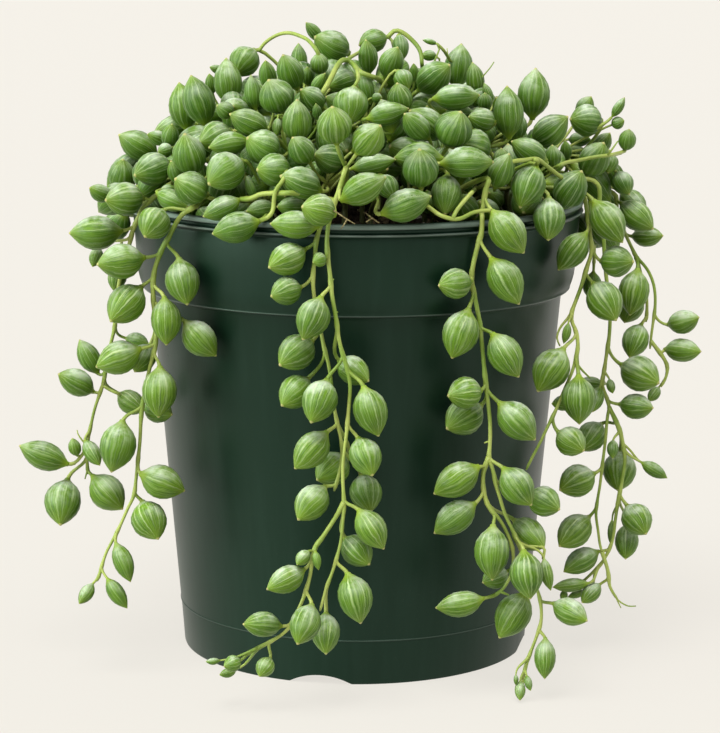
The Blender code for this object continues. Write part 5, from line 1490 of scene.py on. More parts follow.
@dataclass
class LeafMaker:
    """Models one plump leaf along +Z, half a unit wide and one long, and copies it to every place."""

    skin: bpy.types.Material
    steps: int = 14
    places: tuple = (0.0, 0.04, 0.095, 0.18, 0.30, 0.44, 0.58, 0.71, 0.82, 0.905, 0.965, 1.0)
    widths: tuple = (0.150, 0.195, 0.36, 0.655, 0.90, 1.0, 0.975, 0.835, 0.60, 0.345, 0.140, 0.040)

    def build(self) -> None:
        """Model the blank and give it its map."""
        profile = [(0.0, 0.0), *zip(self.widths, self.places), (0.0, 1.004)]
        self.blank = spun("leaf_blank", profile, self.steps)
        self.blank.data.shade_smooth()
        self.blank.data.materials.append(self.skin)
        self.shape = np.array([vertex.co for vertex in self.blank.data.vertices])
        self.map_round()

    def map_round(self) -> None:
        """Lay the leaf_map: round the leaf across, from neck to tip up."""
        mesh = self.blank.data
        layer = mesh.uv_layers.new(name="leaf_map")
        for face in mesh.polygons:
            places = [mesh.vertices[mesh.loops[corner].vertex_index].co for corner in face.loop_indices]
            turns = [math.atan2(place.y, place.x) / (2.0 * math.pi) % 1.0 for place in places]
            off_axis = [math.hypot(place.x, place.y) > 1e-5 for place in places]
            known = [turn for turn, is_off in zip(turns, off_axis) if is_off]
            if max(known) - min(known) > 0.5:
                turns = [turn + 1.0 if turn < 0.5 else turn for turn in turns]
                known = [turn + 1.0 if turn < 0.5 else turn for turn in known]
            for corner, place, turn, is_off in zip(face.loop_indices, places, turns, off_axis):
                layer.data[corner].uv = (turn if is_off else sum(known) / len(known), place.z)

    def leaf(self, name: str, stand: tuple, size: tuple, looks: tuple) -> Piece:
        """One leaf.

        Args:
            name: its name.
            stand: the end that the petiole meets, and the direction from there to the tip.
            size: half its width, and its length.
            looks: its own random number, how young it is, how far it is rolled, and how far it bows.

        Returns:
            The new object.
        """
        neck, axis = stand
        half, length = size
        tone, youth, turn, bend = looks
        side = unit(np.cross(axis, (0.0, 0.0, 1.0) if abs(axis[2]) < 0.9 else (1.0, 0.0, 0.0)))
        across = side * math.cos(turn) + np.cross(axis, side) * math.sin(turn)
        x, y, z = self.shape.T
        bow = bend * 4.0 * z * (1.0 - z) * length
        points = (neck + np.outer(z * length, axis) + np.outer(x * half + bow, across)
                  + np.outer(y * half, np.cross(axis, across)))
        piece = copy_of(name, self.blank, points, tone)
        set_number(piece, "leaf_youth", youth)
        return piece


class Age(Enum):
    """Where a leaf grows, and so how light and yellow its green is: a middle and a spread."""

    INNER = (0.05, 0.05)
    MOUND = (0.22, 0.18)
    BACK = (0.38, 0.20)
    TRAIL = (0.58, 0.24)


@dataclass
class Foliage:
    """The leaves, petioles and stems of every strand and shoot: one piece in place of each node."""

    growth: Growth
    leaf_skin: LeafSkin = LeafSkin()
    stem_skin: StemSkin = StemSkin()
    root_radius: float = 1.15 * MM
    tip_radius: float = 0.50 * MM
    node_swell: float = 0.24 * MM
    node_reach: float = 1.9 * MM
    petiole_thin: float = 0.50 * MM
    petiole_thick: float = 0.85 * MM
    lead_back: float = 0.75
    farthest_back: float = 7.0 * MM
    stem_sides: int = 8
    petiole_sides: int = 6
    petiole_steps: int = 7
    seed: int = 5

    def build(self) -> None:
        """Build the maker and the stems' skin, then every strand in order."""
        self.stem_material = self.stem_skin.make()
        self.maker = LeafMaker(self.leaf_skin.make())
        self.maker.build()
        self.draw = np.random.default_rng(self.seed)
        self.necks = self.growth.leaves.neck()
        for number, name in enumerate(self.growth.names):
            self.strand(number, name)

    def strand(self, number: int, name: str) -> None:
        """One strand or shoot, in place of its node.

        Args:
            number: its place in the growth.
            name: its node's name.
        """
        growth = self.growth
        leaves = growth.leaves
        routes = [growth.smooth_stems[k] for k, owner in enumerate(growth.owners) if owner == number]
        own = np.flatnonzero(leaves.strand == number)
        held = [self.on_stem(routes, n) for n in own]
        runs = [self.stem_run(route, [joint for joint, _ in held], k > 0) for k, route in enumerate(routes)]
        stalks = [self.petiole_run(n, *grip) for n, grip in zip(own, held)]
        age = Age.MOUND if name.startswith("shoot") else Age.BACK if "back" in name else Age.TRAIL
        pieces = [self.wood(name + "_stem", runs, self.stem_sides)]
        if stalks:
            pieces.append(self.wood(name + "_petioles", stalks, self.petiole_sides))
        for n in own:
            stand = (self.necks[n], leaves.axis[n])
            pieces.append(self.grown(f"leaf_{n}", stand, (leaves.half[n], leaves.length[n]), age))
        settle(joined(name + "_growth", pieces), Slot.FOLIAGE, name)

    def wood(self, name: str, runs: list, sides: int) -> Piece:
        """Tubes with the stem's skin.

        Args:
            name: their name.
            runs: for each tube its points and radii.
            sides: how many faces go round.

        Returns:
            The tubes.
        """
        piece = tubes(name, runs, sides)
        piece.data.materials.append(self.stem_material)
        set_number(piece, "leaf_tone", 0.35 + 0.6 * float(self.draw.random()))
        return piece

    def grown(self, name: str, stand: tuple, size: tuple, age: Age) -> Piece:
        """One leaf with a drawn tone, youth, roll and bend.

        Args:
            name: its name.
            stand: its neck, and the direction from there to its tip.
            size: half its width, and its length.
            age: where it grows.

        Returns:
            The leaf.
        """
        tone, youth, turn, bend = self.draw.random(4)
        young = np.clip(age.value[0] + (youth - 0.5) * 2.0 * age.value[1], 0.0, 1.0)
        return self.maker.leaf(name, stand, size, (tone, young, turn * 2.0 * math.pi, (bend - 0.5) * 0.07))

    def on_stem(self, routes: list, n: int) -> tuple:
        """Where a leaf's petiole leaves its strand: a little nearer the root than its straight run ends.

        Args:
            routes: the strand's stems.
            n: the leaf's number.

        Returns:
            The place on the stem, and the stem's direction there.
        """
        wanted = self.growth.ends[n]
        route = min(routes, key=lambda points: spans(points - wanted).min())
        spot = int(spans(route - wanted).argmin())
        gap = float(np.linalg.norm(route[spot] - self.necks[n]))
        back = min(gap * self.lead_back, self.farthest_back) / self.growth.stem_step
        place = max(spot - back, min(spot, 3.0))
        low = min(int(place), len(route) - 2)
        return route[low] + (route[low + 1] - route[low]) * (place - low), unit(route[low + 1] - route[low])

    def stem_run(self, route: Array, joints: list, is_twig: bool) -> tuple:
        """A stem's points and its radius at each, swollen at the nodes.

        Args:
            route: the stem's points.
            joints: where petioles meet the strand.
            is_twig: whether it is a side twig.

        Returns:
            The points and the radii.
        """
        fine = resample(route, 1.5 * MM)
        share = np.linspace(0.0, 1.0, len(fine))
        start = self.root_radius * (0.72 if is_twig else 1.0)
        radii = start + (self.tip_radius - start) * share ** 0.6
        if joints:
            far = spans(fine[:, None] - np.array(joints)[None]).min(axis=1)
            radii = radii + self.node_swell * np.exp(-(far / self.node_reach) ** 2)
        radii[-1] *= 0.55
        return fine, radii

    def petiole_run(self, n: int, joint: Array, way: Array) -> tuple:
        """A petiole that leaves along the stem, bows away from it and meets the leaf along its axis.

        Args:
            n: the leaf's number.
            joint: its place on the stem.
            way: the stem's direction there.

        Returns:
            The points and the radii.
        """
        axis, half = self.growth.leaves.axis[n], self.growth.leaves.half[n]
        end = self.necks[n] + axis * min(1.2 * MM, half * 0.3)
        lead = min(float(np.linalg.norm(end - joint)) * 0.42, 6.0 * MM)
        first = joint + (way * 0.6 + unit(end - joint) * 0.5) * lead * 0.8
        last = end - axis * lead
        share = np.linspace(0.0, 1.0, self.petiole_steps + 1)
        t = share[:, None]
        back = 1.0 - t
        run = back ** 3 * joint + 3 * back ** 2 * t * first + 3 * back * t ** 2 * last + t ** 3 * end
        thick = min(self.petiole_thick, 0.13 * half + 0.12 * MM)
        thin = self.petiole_thin
        return run, thin + (thick - thin) * share ** 2 + 0.2 * MM * (1 - share) ** 3


@dataclass
class InnerLeaves:
    """Leaves inside the mound, behind the ones that show, which close the view to the soil."""

    foliage: Foliage
    tries: int = 6500
    most: int = 330
    deepest: float = 0.42
    shallowest: float = 0.93
    open_low: tuple = (-16.0 * MM, -82.0 * MM, 0.0)
    open_high: tuple = (34.0 * MM, -26.0 * MM, 178.0 * MM)
    seed: int = 23

    def build(self) -> None:
        """Strew leaves where there is room, largest first, and hold each on the nearest shoot."""
        growth = self.foliage.growth
        draw = np.random.default_rng(self.seed)
        centres, radii = growth.leaves.spheres()
        taken, size = centres.reshape(-1, 3), radii.reshape(-1)
        shoots = growth.points[[growth.names[owner].startswith("shoot") for owner in growth.point_owner]]
        ways = dome_directions(self.tries, 0.0)
        pieces, stalks = [], []
        for count, k in enumerate(draw.permutation(self.tries)):
            deep, lean, turn, slim = draw.random(4)
            half = (6.2 - 2.6 * (count / self.tries) ** 0.5) * MM
            length = half * 2.0 * (1.25 + 0.35 * slim)
            share = self.shallowest - (self.shallowest - self.deepest) * deep ** 1.5
            middle = growth.mound.middle + ways[k] * growth.mound.reach * share
            side = unit(np.cross(ways[k], UP))
            angle = turn * 2.0 * math.pi
            axis = unit(ways[k] * (0.25 + 0.5 * lean) + side * math.cos(angle)
                        + np.cross(side, ways[k]) * math.sin(angle))
            own = middle + axis * ((LeafSet.PLACES - 0.5) * length)[:, None]
            own_size = half * LeafSet.SIZES
            if not self.fits(own, own_size, taken, size):
                continue
            neck = middle - axis * length * 0.5
            joint = shoots[spans(shoots - neck + axis * 3 * MM).argmin()]
            stalks.append(self.stalk(neck + axis * 0.25 * half, axis, joint))
            pieces.append(self.foliage.grown(f"inner_{k}", (neck, axis), (half, length), Age.INNER))
            taken, size = np.vstack((taken, own)), np.concatenate((size, own_size))
            if len(pieces) == self.most:
                break
        wood = self.foliage.wood("inner_petioles", stalks, self.foliage.petiole_sides)
        settle(joined("inner_leaves", [wood, *pieces]), Slot.FOLIAGE)

    def fits(self, own: Array, own_size: Array, taken: Array, size: Array) -> bool:
        """Whether a leaf stands clear of the others, the stems, the pot and the soil.

        Args:
            own: the middles of the spheres that fill it.
            own_size: their radii.
            taken: the middles of the spheres of all other leaves.
            size: their radii.

        Returns:
            True where there is room.
        """
        growth = self.foliage.growth
        in_opening = ((own > self.open_low) & (own < self.open_high)).all(axis=1).any()
        if in_opening or own[:, 2].min() < growth.pot.soil_top + 4.5 * MM:
            return False
        stems = np.full(len(growth.points), growth.stem_radius)
        for middles, room in ((taken, size + 0.15 * MM), (growth.points, stems)):
            near = spans(middles - own[2]) < room + 20 * MM
            far = spans(middles[near][:, None] - own[None])
            if (far < room[near][:, None] + own_size[None]).any():
                return False
        return bool(spans(growth.pot.keep_off(own, own_size)).max() < 0.01 * MM)

    @staticmethod
    def stalk(end: Array, axis: Array, joint: Array) -> tuple:
        """A bowed petiole from a shoot to an inner leaf.

        Args:
            end: where it ends in the leaf.
            axis: the leaf's direction.
            joint: the place on the shoot.

        Returns:
            The points and the radii.
        """
        knee = end - axis * min(4.0 * MM, float(np.linalg.norm(end - joint)) * 0.4)
        t = np.linspace(0.0, 1.0, 5)[:, None]
        return (1 - t) ** 2 * joint + 2 * (1 - t) * t * knee + t ** 2 * end, np.full(5, 0.55 * MM)


class Hold(Enum):
    """What a small stem's end does: it dives among leaves, meets a neck, joins a stem or is open."""

    DIVE = 0
    NECK = 1
    JOIN = 2
    OPEN = 3


DIVE, NECK, JOIN, OPEN = Hold


class Sprig(NamedTuple):
    """A small stem as seen: its places in the picture, its half width, and what its ends do."""

    places: tuple
    half: float
    start: Hold = OPEN
    end: Hold = OPEN


MOUND_SPRIGS = (
    Sprig(((318, 60), (318, 53), (309, 41), (300, 36), (290, 33), (280, 34), (270, 39), (263, 45),
           (259, 51)), 0.75, DIVE, NECK),
    Sprig(((322, 94), (330, 80), (336, 68), (341, 61), (347, 60), (353, 64), (359, 71), (367, 75), (376, 78),
           (383, 83)), 0.98, DIVE, DIVE),
    Sprig(((357, 70), (359, 79), (357, 88)), 0.70, JOIN, NECK),
    Sprig(((346, 61), (351, 57), (358, 53), (364, 49)), 0.70, JOIN, DIVE),
    Sprig(((388, 37), (394, 31), (399, 31), (405, 34), (412, 40), (418, 47), (421, 54), (422, 64)), 0.85,
          NECK, DIVE),
    Sprig(((300, 193), (292, 193), (280, 193), (262, 194), (253, 198), (246, 203), (242, 206)), 0.95, DIVE,
          NECK),
    Sprig(((284, 178), (282, 182), (276, 190), (274, 200), (273, 210), (269, 217), (262, 222)), 0.80, DIVE,
          NECK),
    Sprig(((508, 163), (515, 161), (525, 160), (537, 159), (548, 167), (562, 178)), 0.80, DIVE, DIVE),
    Sprig(((534, 160), (539, 163), (538, 168)), 0.70, JOIN, NECK),
    Sprig(((548, 172), (553, 169), (565, 163), (580, 160), (595, 157), (610, 155), (620, 152), (626, 149)),
          0.75, DIVE, NECK),
    Sprig(((608, 155), (613, 148), (618, 141)), 0.45, JOIN, OPEN),
    Sprig(((594, 131), (600, 126), (608, 122), (613, 119)), 0.60, DIVE, NECK),
    Sprig(((430, 208), (440, 215), (453, 219), (462, 218), (473, 212), (484, 206)), 0.75, DIVE, NECK),
    Sprig(((480, 184), (476, 188), (465, 200), (457, 210), (453, 218)), 0.80, DIVE, JOIN),
    Sprig(((425, 46), (435, 44), (441, 48), (445, 53), (449, 60)), 0.45, NECK, DIVE),
    Sprig(((436, 56), (441, 52), (447, 55), (451, 61)), 0.40, NECK, DIVE),
    Sprig(((448, 57), (447, 48)), 0.28, JOIN, OPEN),
    Sprig(((480, 80), (484, 75), (490, 68), (494, 62)), 0.36, DIVE, OPEN),
)

DRY_SPRIGS = (
    Sprig(((328, 208), (336, 212), (345, 218), (355, 224)), 0.32, DIVE, OPEN),
    Sprig(((347, 219), (345, 223), (341, 229)), 0.26, JOIN, OPEN),
    Sprig(((358, 210), (365, 213), (372, 218), (379, 223)), 0.42, DIVE, OPEN),
    Sprig(((366, 222), (369, 220), (373, 218)), 0.24, OPEN, JOIN),
)

TRAIL_SPRIGS = (
    Sprig(((334, 311), (338, 312)), 0.4), Sprig(((331, 281), (334, 279)), 0.4),
    Sprig(((488, 440), (484, 443)), 0.4), Sprig(((634, 268), (638, 270)), 0.4),
    Sprig(((500, 590), (504, 593), (509, 595)), 0.6),
    Sprig(((608, 596), (619, 601), (628, 606), (636, 606)), 0.4),
    Sprig(((612, 598), (618, 602), (621, 608)), 0.35),
    Sprig(((572, 312), (568, 318), (560, 328), (557, 338), (560, 346)), 0.6),
    Sprig(((573, 355), (576, 362), (582, 370), (590, 378)), 0.6),
    Sprig(((616, 436), (623, 443), (630, 450), (638, 460), (643, 463)), 0.5, OPEN, NECK),
    Sprig(((541, 540), (543, 547), (543, 558)), 0.6, OPEN, NECK),
    Sprig(((104, 387), (110, 390), (119, 394)), 0.6, OPEN, NECK),
    Sprig(((87, 444), (84, 452), (79, 458), (74, 464)), 0.6, OPEN, NECK),
    Sprig(((79, 444), (79, 436), (77, 430)), 0.4),
    Sprig(((84, 470), (86, 475), (85, 479)), 0.45),
)


@dataclass
class SmallStems:
    """The small stems, stubs and rootlets that show over the mound, on the rim and on the strands."""

    foliage: Foliage
    root: Grit = DRY_ROOT
    step: float = 1.5 * MM
    clear: float = 0.25 * MM
    rise: float = 2.5 * MM
    most_forward: float = 15.0 * MM
    sunk: float = 5.0 * MM
    dive: float = 8.0 * MM
    neck_reach: float = 9.0 * MM
    rim_row: float = 200.0

    def build(self) -> None:
        """Build the three kinds as three pieces."""
        self.view = self.foliage.growth.view
        self.eye = self.view.eye
        self.centres, self.radii = (
            values.reshape(-1, *values.shape[2:]) for values in self.foliage.growth.leaves.spheres())
        self.necks = self.foliage.necks
        self.laid: list = []
        arcs = self.foliage.wood("mound_arcs", [self.over_mound(sprig) for sprig in MOUND_SPRIGS], 8)
        settle(arcs, Slot.FOLIAGE)
        dry = tubes("dry_rootlets", [self.over_mound(sprig) for sprig in DRY_SPRIGS], 6)
        dry.data.materials.append(self.root.make())
        settle(dry, Slot.FOLIAGE)
        spurs = self.foliage.wood("strand_spurs", [self.on_strand(sprig) for sprig in TRAIL_SPRIGS], 6)
        settle(spurs, Slot.FOLIAGE)

    @staticmethod
    def tapered(run: Array, sprig: Sprig) -> tuple:
        """A run with its radii, thinner toward an open end."""
        loss = 0.45 if sprig.end is OPEN else 0.12
        return run, sprig.half * MM * (1.0 - loss * np.linspace(0.0, 1.0, len(run)))

    def over_mound(self, sprig: Sprig) -> tuple:
        """A sprig that spans from end to end and is drawn forward only where a leaf would hide it.

        Args:
            sprig: the sprig as seen.

        Returns:
            Its points and radii.
        """
        flat = np.column_stack((np.array(sprig.places, dtype=float), np.zeros(len(sprig.places))))
        flat = resample(flat, 3.0)[:, :2]
        rays = np.array([unit(self.view.sight(*place)) for place in flat])
        share = np.linspace(0.0, 1.0, len(flat))
        start, end = self.anchor(flat[0], rays[0], sprig.start), self.anchor(flat[-1], rays[-1], sprig.end)
        if OPEN in (sprig.start, sprig.end):
            start = end = end if sprig.start is OPEN else start
        skins = np.array([self.skin(place, ray) for place, ray in zip(flat, rays)]) + self.clear
        shy = np.ones(len(flat))
        if sprig.start is DIVE:
            shy *= np.clip(share * len(flat) / 4.0, 0.0, 1.0)
        if sprig.end is DIVE:
            shy *= np.clip((1.0 - share) * len(flat) / 4.0, 0.0, 1.0)
        base = start + (end - start) * share - self.rise * np.sin(math.pi * share)
        base += (np.minimum(base, skins) - base) * shy
        limit = np.array([self.nearest_skin(ray, far, sprig.half * MM) for ray, far in zip(rays, base)])
        far = base + (np.minimum(base, limit) - base) * shy
        for _ in range(8):
            padded = np.concatenate((far[:1], far, far[-1:]))
            eased = (padded[:-2] + padded[1:-1] + padded[2:]) / 3.0
            far = np.minimum(eased, far + (base - far) * (1.0 - shy))
        run = self.eye + rays * far[:, None]
        run = self.ended(run[::-1], rays[0], sprig.start)[::-1]
        run = resample(self.ended(run, rays[-1], sprig.end), self.step)
        self.laid.append(run)
        return self.tapered(run, sprig)

    def ended(self, run: Array, ray: Array, hold: Hold) -> Array:
        """A run whose last end dives among the leaves or bends to the nearest neck.

        Args:
            run: its points.
            ray: the line of sight through its last one.
            hold: what the end does.

        Returns:
            The new run.
        """
        if hold is DIVE:
            return np.vstack((run, run[-1] + (ray * 0.9 + unit(run[-1] - run[-2]) * 0.3) * self.dive))
        far = spans(self.necks - run[-1])
        if hold is NECK and far.min() < self.neck_reach:
            fade = np.clip(1.0 - np.arange(len(run))[::-1] / 6.0, 0.0, 1.0) ** 2
            return run + (self.necks[far.argmin()] - run[-1]) * fade[:, None]
        return run

    def skin(self, place: Array, ray: Array) -> float:
        """How far from the eye a line of sight meets the mound, or the plane of the rim near its front.

        Args:
            place: the place in the picture.
            ray: its line of sight.

        Returns:
            The distance.
        """
        growth = self.foliage.growth
        skin = float((growth.mound.surface(self.view, *place) - self.eye) @ ray)
        on_rim = (growth.pot.height + 0.5 * MM - self.eye[2]) / ray[2]
        return min(skin, on_rim) if place[1] > self.rim_row else skin

    def off_ray(self, points: Array, ray: Array) -> tuple:
        """How far points lie from a line of sight, and how far along it."""
        along = (points - self.eye) @ ray
        return spans(points - self.eye - along[:, None] * ray), along

    def anchor(self, place: Array, ray: Array, hold: Hold) -> float:
        """How far from the eye a sprig's end lies.

        Args:
            place: the end's place in the picture.
            ray: its line of sight.
            hold: what the end does.

        Returns:
            The distance.
        """
        skin = self.skin(place, ray)
        if hold is JOIN:
            off, along = self.off_ray(np.vstack(self.laid), ray)
            return float(along[off.argmin()])
        if hold is NECK:
            off, along = self.off_ray(self.necks, ray)
            best = (off + 0.12 * np.abs(along - skin)).argmin()
            return float(along[best]) if off[best] < self.neck_reach else skin
        if hold is DIVE:
            off, along = self.off_ray(self.centres, ray)
            covers = (off < self.radii) & (along > skin - self.most_forward)
            return float(along[covers].min()) if covers.any() else skin + self.sunk
        return skin

    def nearest_skin(self, ray: Array, base: float, half: float) -> float:
        """How far along a line of sight a sprig may lie so that no leaf a little before it hides it.

        Args:
            ray: the line's direction.
            base: how far the sprig would lie without leaves.
            half: the sprig's half width.

        Returns:
            The distance from the eye.
        """
        sizes = self.radii + half + self.clear
        off, along = self.off_ray(self.centres, ray)
        reach = np.sqrt(np.maximum(sizes ** 2 - off ** 2, 0.0))
        near = along - reach
        hides = (sizes > off) & (near < base) & ((near > base - self.most_forward) | (along + reach > base))
        return float(min([base, *near[hides]]))

    def on_strand(self, sprig: Sprig) -> tuple:
        """A sprig that starts on a trailing stem and keeps that stem's depth.

        Args:
            sprig: the sprig as seen.

        Returns:
            Its points and radii.
        """
        growth = self.foliage.growth
        stems = np.vstack([resample(stem, self.step) for stem, owner
                           in zip(growth.smooth_stems, growth.owners) if owner < len(STRANDS)])
        start = stems[self.off_ray(stems, unit(self.view.sight(*sprig.places[0])))[0].argmin()]
        run = np.array([start] + [self.view.seen(*place, start[1]) for place in sprig.places[1:]])
        if sprig.end is NECK:
            run = np.vstack((run, self.necks[spans(self.necks - run[-1]).argmin()]))
        return self.tapered(resample(run, self.step), sprig)


@dataclass
class NurseryPot:
    """The pot: a turned shell with a rolled lip, a bead, a stepped band, a mould line and drain notches."""

    form: PotForm = PotForm()
    plastic: PotPlastic = PotPlastic()
    steps: int = 144
    wall: float = 1.2 * MM
    floor: float = 1.5 * MM
    notches: int = 4
    notch_turn: float = math.radians(-101.0)
    notch_height: float = 3.2 * MM
    notch_round: float = 22.0 * MM
    notch_reach: float = 30.0 * MM
    sharp: float = math.radians(38.0)

    def profile(self) -> list:
        """The shell's section, from the middle of the underside, up outside and down inside.

        Returns:
            Points as (radius, height).
        """
        form = self.form
        lip, bead = form.lip_radius, form.lip_bottom + 0.3 * MM
        wall, floor, step = self.wall, self.floor, form.band_bottom
        runs = (
            (form.foot_radius, 0.0, ((-0.7, 0.0), (-0.2, 0.2), (0.0, 0.8))),
            (form.mould_line_radius, form.mould_line_height,
             ((-0.10, -0.40), (0.20, -0.12), (0.22, 0.14), (0.05, 0.34))),
            (form.body_top_radius, step,
             ((0.0, -3.2), (0.3, -2.5), (2.2, -2.1), (2.8, -1.9), (3.15, -1.5), (3.1, -1.1), (3.45, -0.2),
              (4.0, 1.4), (4.5, 3.4), (4.85, 6.0))),
            (lip, bead,
             ((-1.35, -2.4), (-1.5, -1.3), (-1.1, -0.75), (-0.35, -0.5), (0.0, 0.0), (-0.2, 0.4),
              (-0.9, 0.6), (-1.5, 1.0), (-1.5, 1.7), (-0.9, 2.1), (-0.3, 2.3), (-0.05, 2.8))),
            (lip, form.height, ((-0.15, -0.75), (-0.5, -0.25), (-1.1, 0.0), (-1.7, -0.05), (-2.1, -0.5))),
            (form.band_radius - wall, form.height, ((1.2, -4.0),)),
            (form.band_radius - wall, step, ((0.0, 1.0),)),
            (form.body_top_radius - wall, step, ((0.0, -5.0),)),
            (form.foot_radius - wall, floor, ((0.0, 0.8), (-0.8, 0.0))),
        )
        section = [(ring + x * MM, high + z * MM) for ring, high, places in runs for x, z in places]
        return [(0.0, 0.0), *section, (0.0, floor)]

    def build(self) -> None:
        """Turn the shell, cut its notches and put it in place of its node."""
        pot = spun("nursery_pot", self.profile(), self.steps)
        for k in range(self.notches):
            self.cut_notch(pot, self.notch_turn + 2.0 * math.pi * k / self.notches)
        tidy_mesh(pot)
        pot.data.materials.clear()
        pot.data.materials.append(self.plastic.make())
        bpy.ops.object.shade_smooth_by_angle(angle=self.sharp)
        settle(pot, Slot.POT, "pot")

    def cut_notch(self, pot: Piece, angle: float) -> None:
        """Cut one scalloped drain notch through the foot.

        Args:
            pot: the shell.
            angle: where the notch lies.
        """
        deselect()
        foot = self.form.foot_radius + 4.0 * MM - self.notch_reach / 2.0
        bpy.ops.mesh.primitive_cylinder_add(
            vertices=96, radius=self.notch_round, depth=self.notch_reach,
            location=(foot * math.cos(angle), foot * math.sin(angle), self.notch_height - self.notch_round),
            rotation=(math.pi / 2.0, 0.0, angle + math.pi / 2.0))
        cutter = bpy.context.object
        pick(pot)
        cut = pot.modifiers.new("notch", "BOOLEAN")
        cut.operation = "DIFFERENCE"
        cut.solver = "EXACT"
        cut.object = cutter
        bpy.ops.object.modifier_apply(modifier=cut.name)
        bpy.data.objects.remove(cutter, do_unlink=True)


@dataclass
class PottingMix:
    """The potting mix: a plug with a rough top, and loose crumbs and white grains on it."""

    form: PotForm = PotForm()
    peat: Peat = Peat()
    perlite: Grit = PERLITE
    crumbs: int = 620
    grains: int = 26
    roughness: float = 1.5 * MM
    steps: int = 112
    rings: int = 44
    wall: float = 1.2 * MM
    floor: float = 1.5 * MM
    gap: float = 0.4 * MM
    heaps: tuple = (
        (25.0 * MM, -69.5 * MM, 5.5 * MM, 8.5 * MM), (-50.0 * MM, -54.0 * MM, 7.0 * MM, 8.0 * MM))
    seed: int = 3

    def build(self) -> None:
        """Build the plug, then what lies on it."""
        form = self.form
        self.draw = np.random.default_rng(self.seed)
        reach = form.cup_radius - 1.0 * MM
        top = [(reach * k / self.rings, form.soil_top) for k in range(self.rings + 1)]
        inset = self.wall + self.gap
        side = [
            (form.band_radius - inset, form.band_bottom + 1.3 * MM),
            (form.body_top_radius - inset, form.band_bottom - form.band_round),
            (form.foot_radius - inset - 0.6 * MM, 7.0 * MM), (form.foot_radius - inset - 3.0 * MM, 3.6 * MM),
            (form.foot_radius - inset - 27.0 * MM, 3.6 * MM),
            (form.foot_radius - inset - 28.0 * MM, self.floor + 0.3 * MM), (0.0, self.floor + 0.3 * MM),
        ]
        plug = spun("potting_mix_top", top + side, self.steps)
        self.roughen(plug)
        peat = self.peat.make()
        plug.data.materials.append(peat)
        plug.data.shade_smooth()
        set_number(plug, "leaf_tone", 0.0)
        settle(plug, Slot.SOIL, "potting_mix")
        crumbs = self.scatter("soil_crumbs", self.crumbs, (0.55, 1.9), peat)
        settle(crumbs, Slot.SOIL)
        grains = self.scatter("perlite_grains", self.grains, (0.8, 1.7), self.perlite.make())
        settle(grains, Slot.SOIL)

    def roughen(self, plug: Piece) -> None:
        """Raise and sink the plug's top by noise, but for its rim.

        Args:
            plug: the plug.
        """
        for vertex in plug.data.vertices:
            x, y, z = vertex.co
            if z > self.form.soil_top - 0.1 * MM and math.hypot(x, y) < self.form.cup_radius - 2.0 * MM:
                vertex.co.z += self.height_at(x, y)

    def height_at(self, x: float, y: float) -> float:
        """How far the top stands over its mean height.

        Args:
            x: place across.
            y: place in depth.

        Returns:
            The height.
        """
        rough = noise.fractal(Vector((x * 190.0, y * 190.0, 0.3)), 1.0, 2.0, 4)
        ring = math.hypot(x, y) / self.form.cup_radius
        heaped = sum(high * math.exp(-math.hypot(x - across, y - deep) ** 2 / reach ** 2)
                     for across, deep, reach, high in self.heaps)
        return self.roughness * rough * (1.0 - ring ** 6) + 0.8 * MM * (1.0 - ring ** 2) + heaped

    def scatter(self, name: str, count: int, sizes: tuple, finish: bpy.types.Material) -> Piece:
        """Lumps strewn over the top, each half sunk into it.

        Args:
            name: the new piece's name.
            count: how many.
            sizes: the smallest and the largest half width, in millimetres.
            finish: their material.

        Returns:
            The lumps as one piece.
        """
        deselect()
        bpy.ops.mesh.primitive_uv_sphere_add(segments=7, ring_count=5, radius=1.0)
        lump = bpy.context.object
        bpy.ops.object.mode_set(mode="EDIT")
        bpy.ops.mesh.select_all(action="SELECT")
        bpy.ops.transform.vertex_random(offset=0.20, seed=self.seed)
        bpy.ops.object.mode_set(mode="OBJECT")
        lump.data.materials.append(finish)
        lump.data.shade_smooth()
        shape = np.array([vertex.co for vertex in lump.data.vertices])
        pieces = []
        for _ in range(count):
            share, angle, size, squash, tone, roll = self.draw.random(6)
            ring = (self.form.cup_radius - 4.5 * MM) * math.sqrt(share)
            x, y = ring * math.cos(angle * 2.0 * math.pi), ring * math.sin(angle * 2.0 * math.pi)
            half = (sizes[0] + (sizes[1] - sizes[0]) * size ** 2.5) * MM
            axle = Vector(self.draw.normal(size=3)).normalized()
            turn = np.array(Matrix.Rotation(roll * 2.0 * math.pi, 3, axle))
            squashed = shape * (half, half * (0.6 + 0.4 * squash), half * (0.55 + 0.35 * tone))
            place = (x, y, self.form.soil_top + self.height_at(x, y) + half * 0.25)
            pieces.append(copy_of(name, lump, squashed @ turn.T + place, tone))
        bpy.data.objects.remove(lump, do_unlink=True)
        return joined(name, pieces)


@dataclass(frozen=True)
class SoftSun:
    """One very soft far lamp: where it shines from, how wide it looks and how strong it is."""

    name: str
    azimuth: float
    elevation: float
    width: float
    strength: float
    colour: tuple = (1.0, 1.0, 1.0)

    def build(self) -> None:
        """Hang the lamp."""
        deselect()
        turn, rise = math.radians(self.azimuth), math.radians(self.elevation)
        way = Vector((math.cos(turn) * math.cos(rise), math.sin(turn) * math.cos(rise), math.sin(rise)))
        bpy.ops.object.light_add(type="SUN", location=way * 3.0)
        lamp = bpy.context.object
        lamp.name = self.name
        lamp.data.angle = math.radians(self.width)
        lamp.data.energy = self.strength
        lamp.data.color = self.colour
        lamp.rotation_euler = (-way).to_track_quat("-Z", "Y").to_euler()


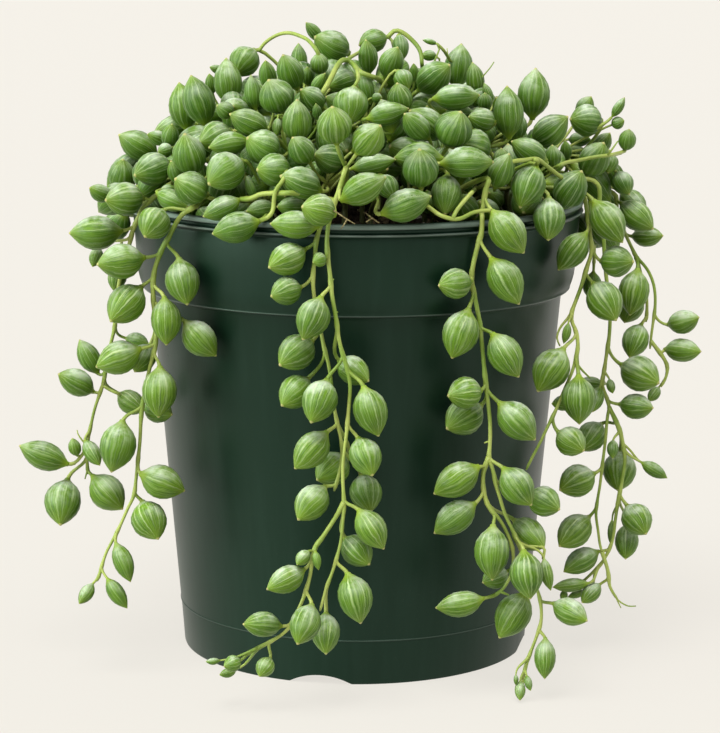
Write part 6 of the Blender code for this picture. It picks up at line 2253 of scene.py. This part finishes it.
@dataclass
class Studio:
    """The pale floor, the lamps, the sky light and the camera at the photograph's angle."""

    view: View = View()
    floor: PaleFloor = PaleFloor()
    floor_size: float = 16.0
    sky: tuple = (1.0, 0.985, 0.96)
    sky_strength: float = 0.54
    lamps: tuple = (
        SoftSun("key", -106.0, 64.0, 38.0, 3.3, (1.0, 0.99, 0.97)),
        SoftSun("left_fill", 200.0, 9.0, 50.0, 3.0, (0.88, 1.0, 0.92)),
        SoftSun("left_front", 214.0, 4.0, 44.0, 0.7, (0.88, 1.0, 0.92)),
        SoftSun("right_rim", 5.0, 12.0, 22.0, 0.45),
    )

    def build(self) -> None:
        """Build the floor, the lamps, an even, slightly warm sky, and the camera."""
        deselect()
        bpy.ops.mesh.primitive_plane_add(size=self.floor_size, location=(0.0, 0.0, 0.0))
        ground = bpy.context.object
        ground.name = "studio_floor"
        ground.data.materials.append(self.floor.make())
        for lamp in self.lamps:
            lamp.build()
        world = bpy.data.worlds.new("studio_sky")
        bpy.context.scene.world = world
        world.use_nodes = True
        background = world.node_tree.nodes["Background"]
        background.inputs["Color"].default_value = (*self.sky, 1.0)
        background.inputs["Strength"].default_value = self.sky_strength
        bpy.context.scene.view_settings.view_transform = "Standard"
        self.place_camera()

    def place_camera(self) -> None:
        """The camera, where the photograph was taken from."""
        deselect()
        bpy.ops.object.camera_add(location=self.view.place)
        camera = bpy.context.object
        camera.name = "photo_camera"
        camera.data.sensor_fit = "VERTICAL"
        camera.data.sensor_height = self.view.sensor
        camera.data.lens = self.view.focal / self.view.picture_height * self.view.sensor
        camera.data.clip_start = 0.05
        camera.data.clip_end = 40.0
        ahead = self.view.ahead
        right = np.array((1.0, 0.0, 0.0))
        up = np.cross(right, ahead)
        cos, sin = math.cos(self.view.roll), math.sin(self.view.roll)
        turned = Matrix((right * cos + up * sin, up * cos - right * sin, -ahead)).transposed()
        camera.matrix_world = Matrix.Translation(self.view.place) @ turned.to_4x4()
        bpy.context.scene.camera = camera


def main() -> None:
    """Build the plant, its pot and the studio, one sub-assembly after another."""
    logging.basicConfig(level=logging.INFO, format="%(message)s")
    growth = Growth()
    growth.grow()
    NurseryPot().build()
    PottingMix().build()
    foliage = Foliage(growth)
    foliage.build()
    InnerLeaves(foliage).build()
    SmallStems(foliage).build()
    bpy.data.objects.remove(foliage.maker.blank, do_unlink=True)
    Studio().build()


if __name__ == "__main__":
    main()
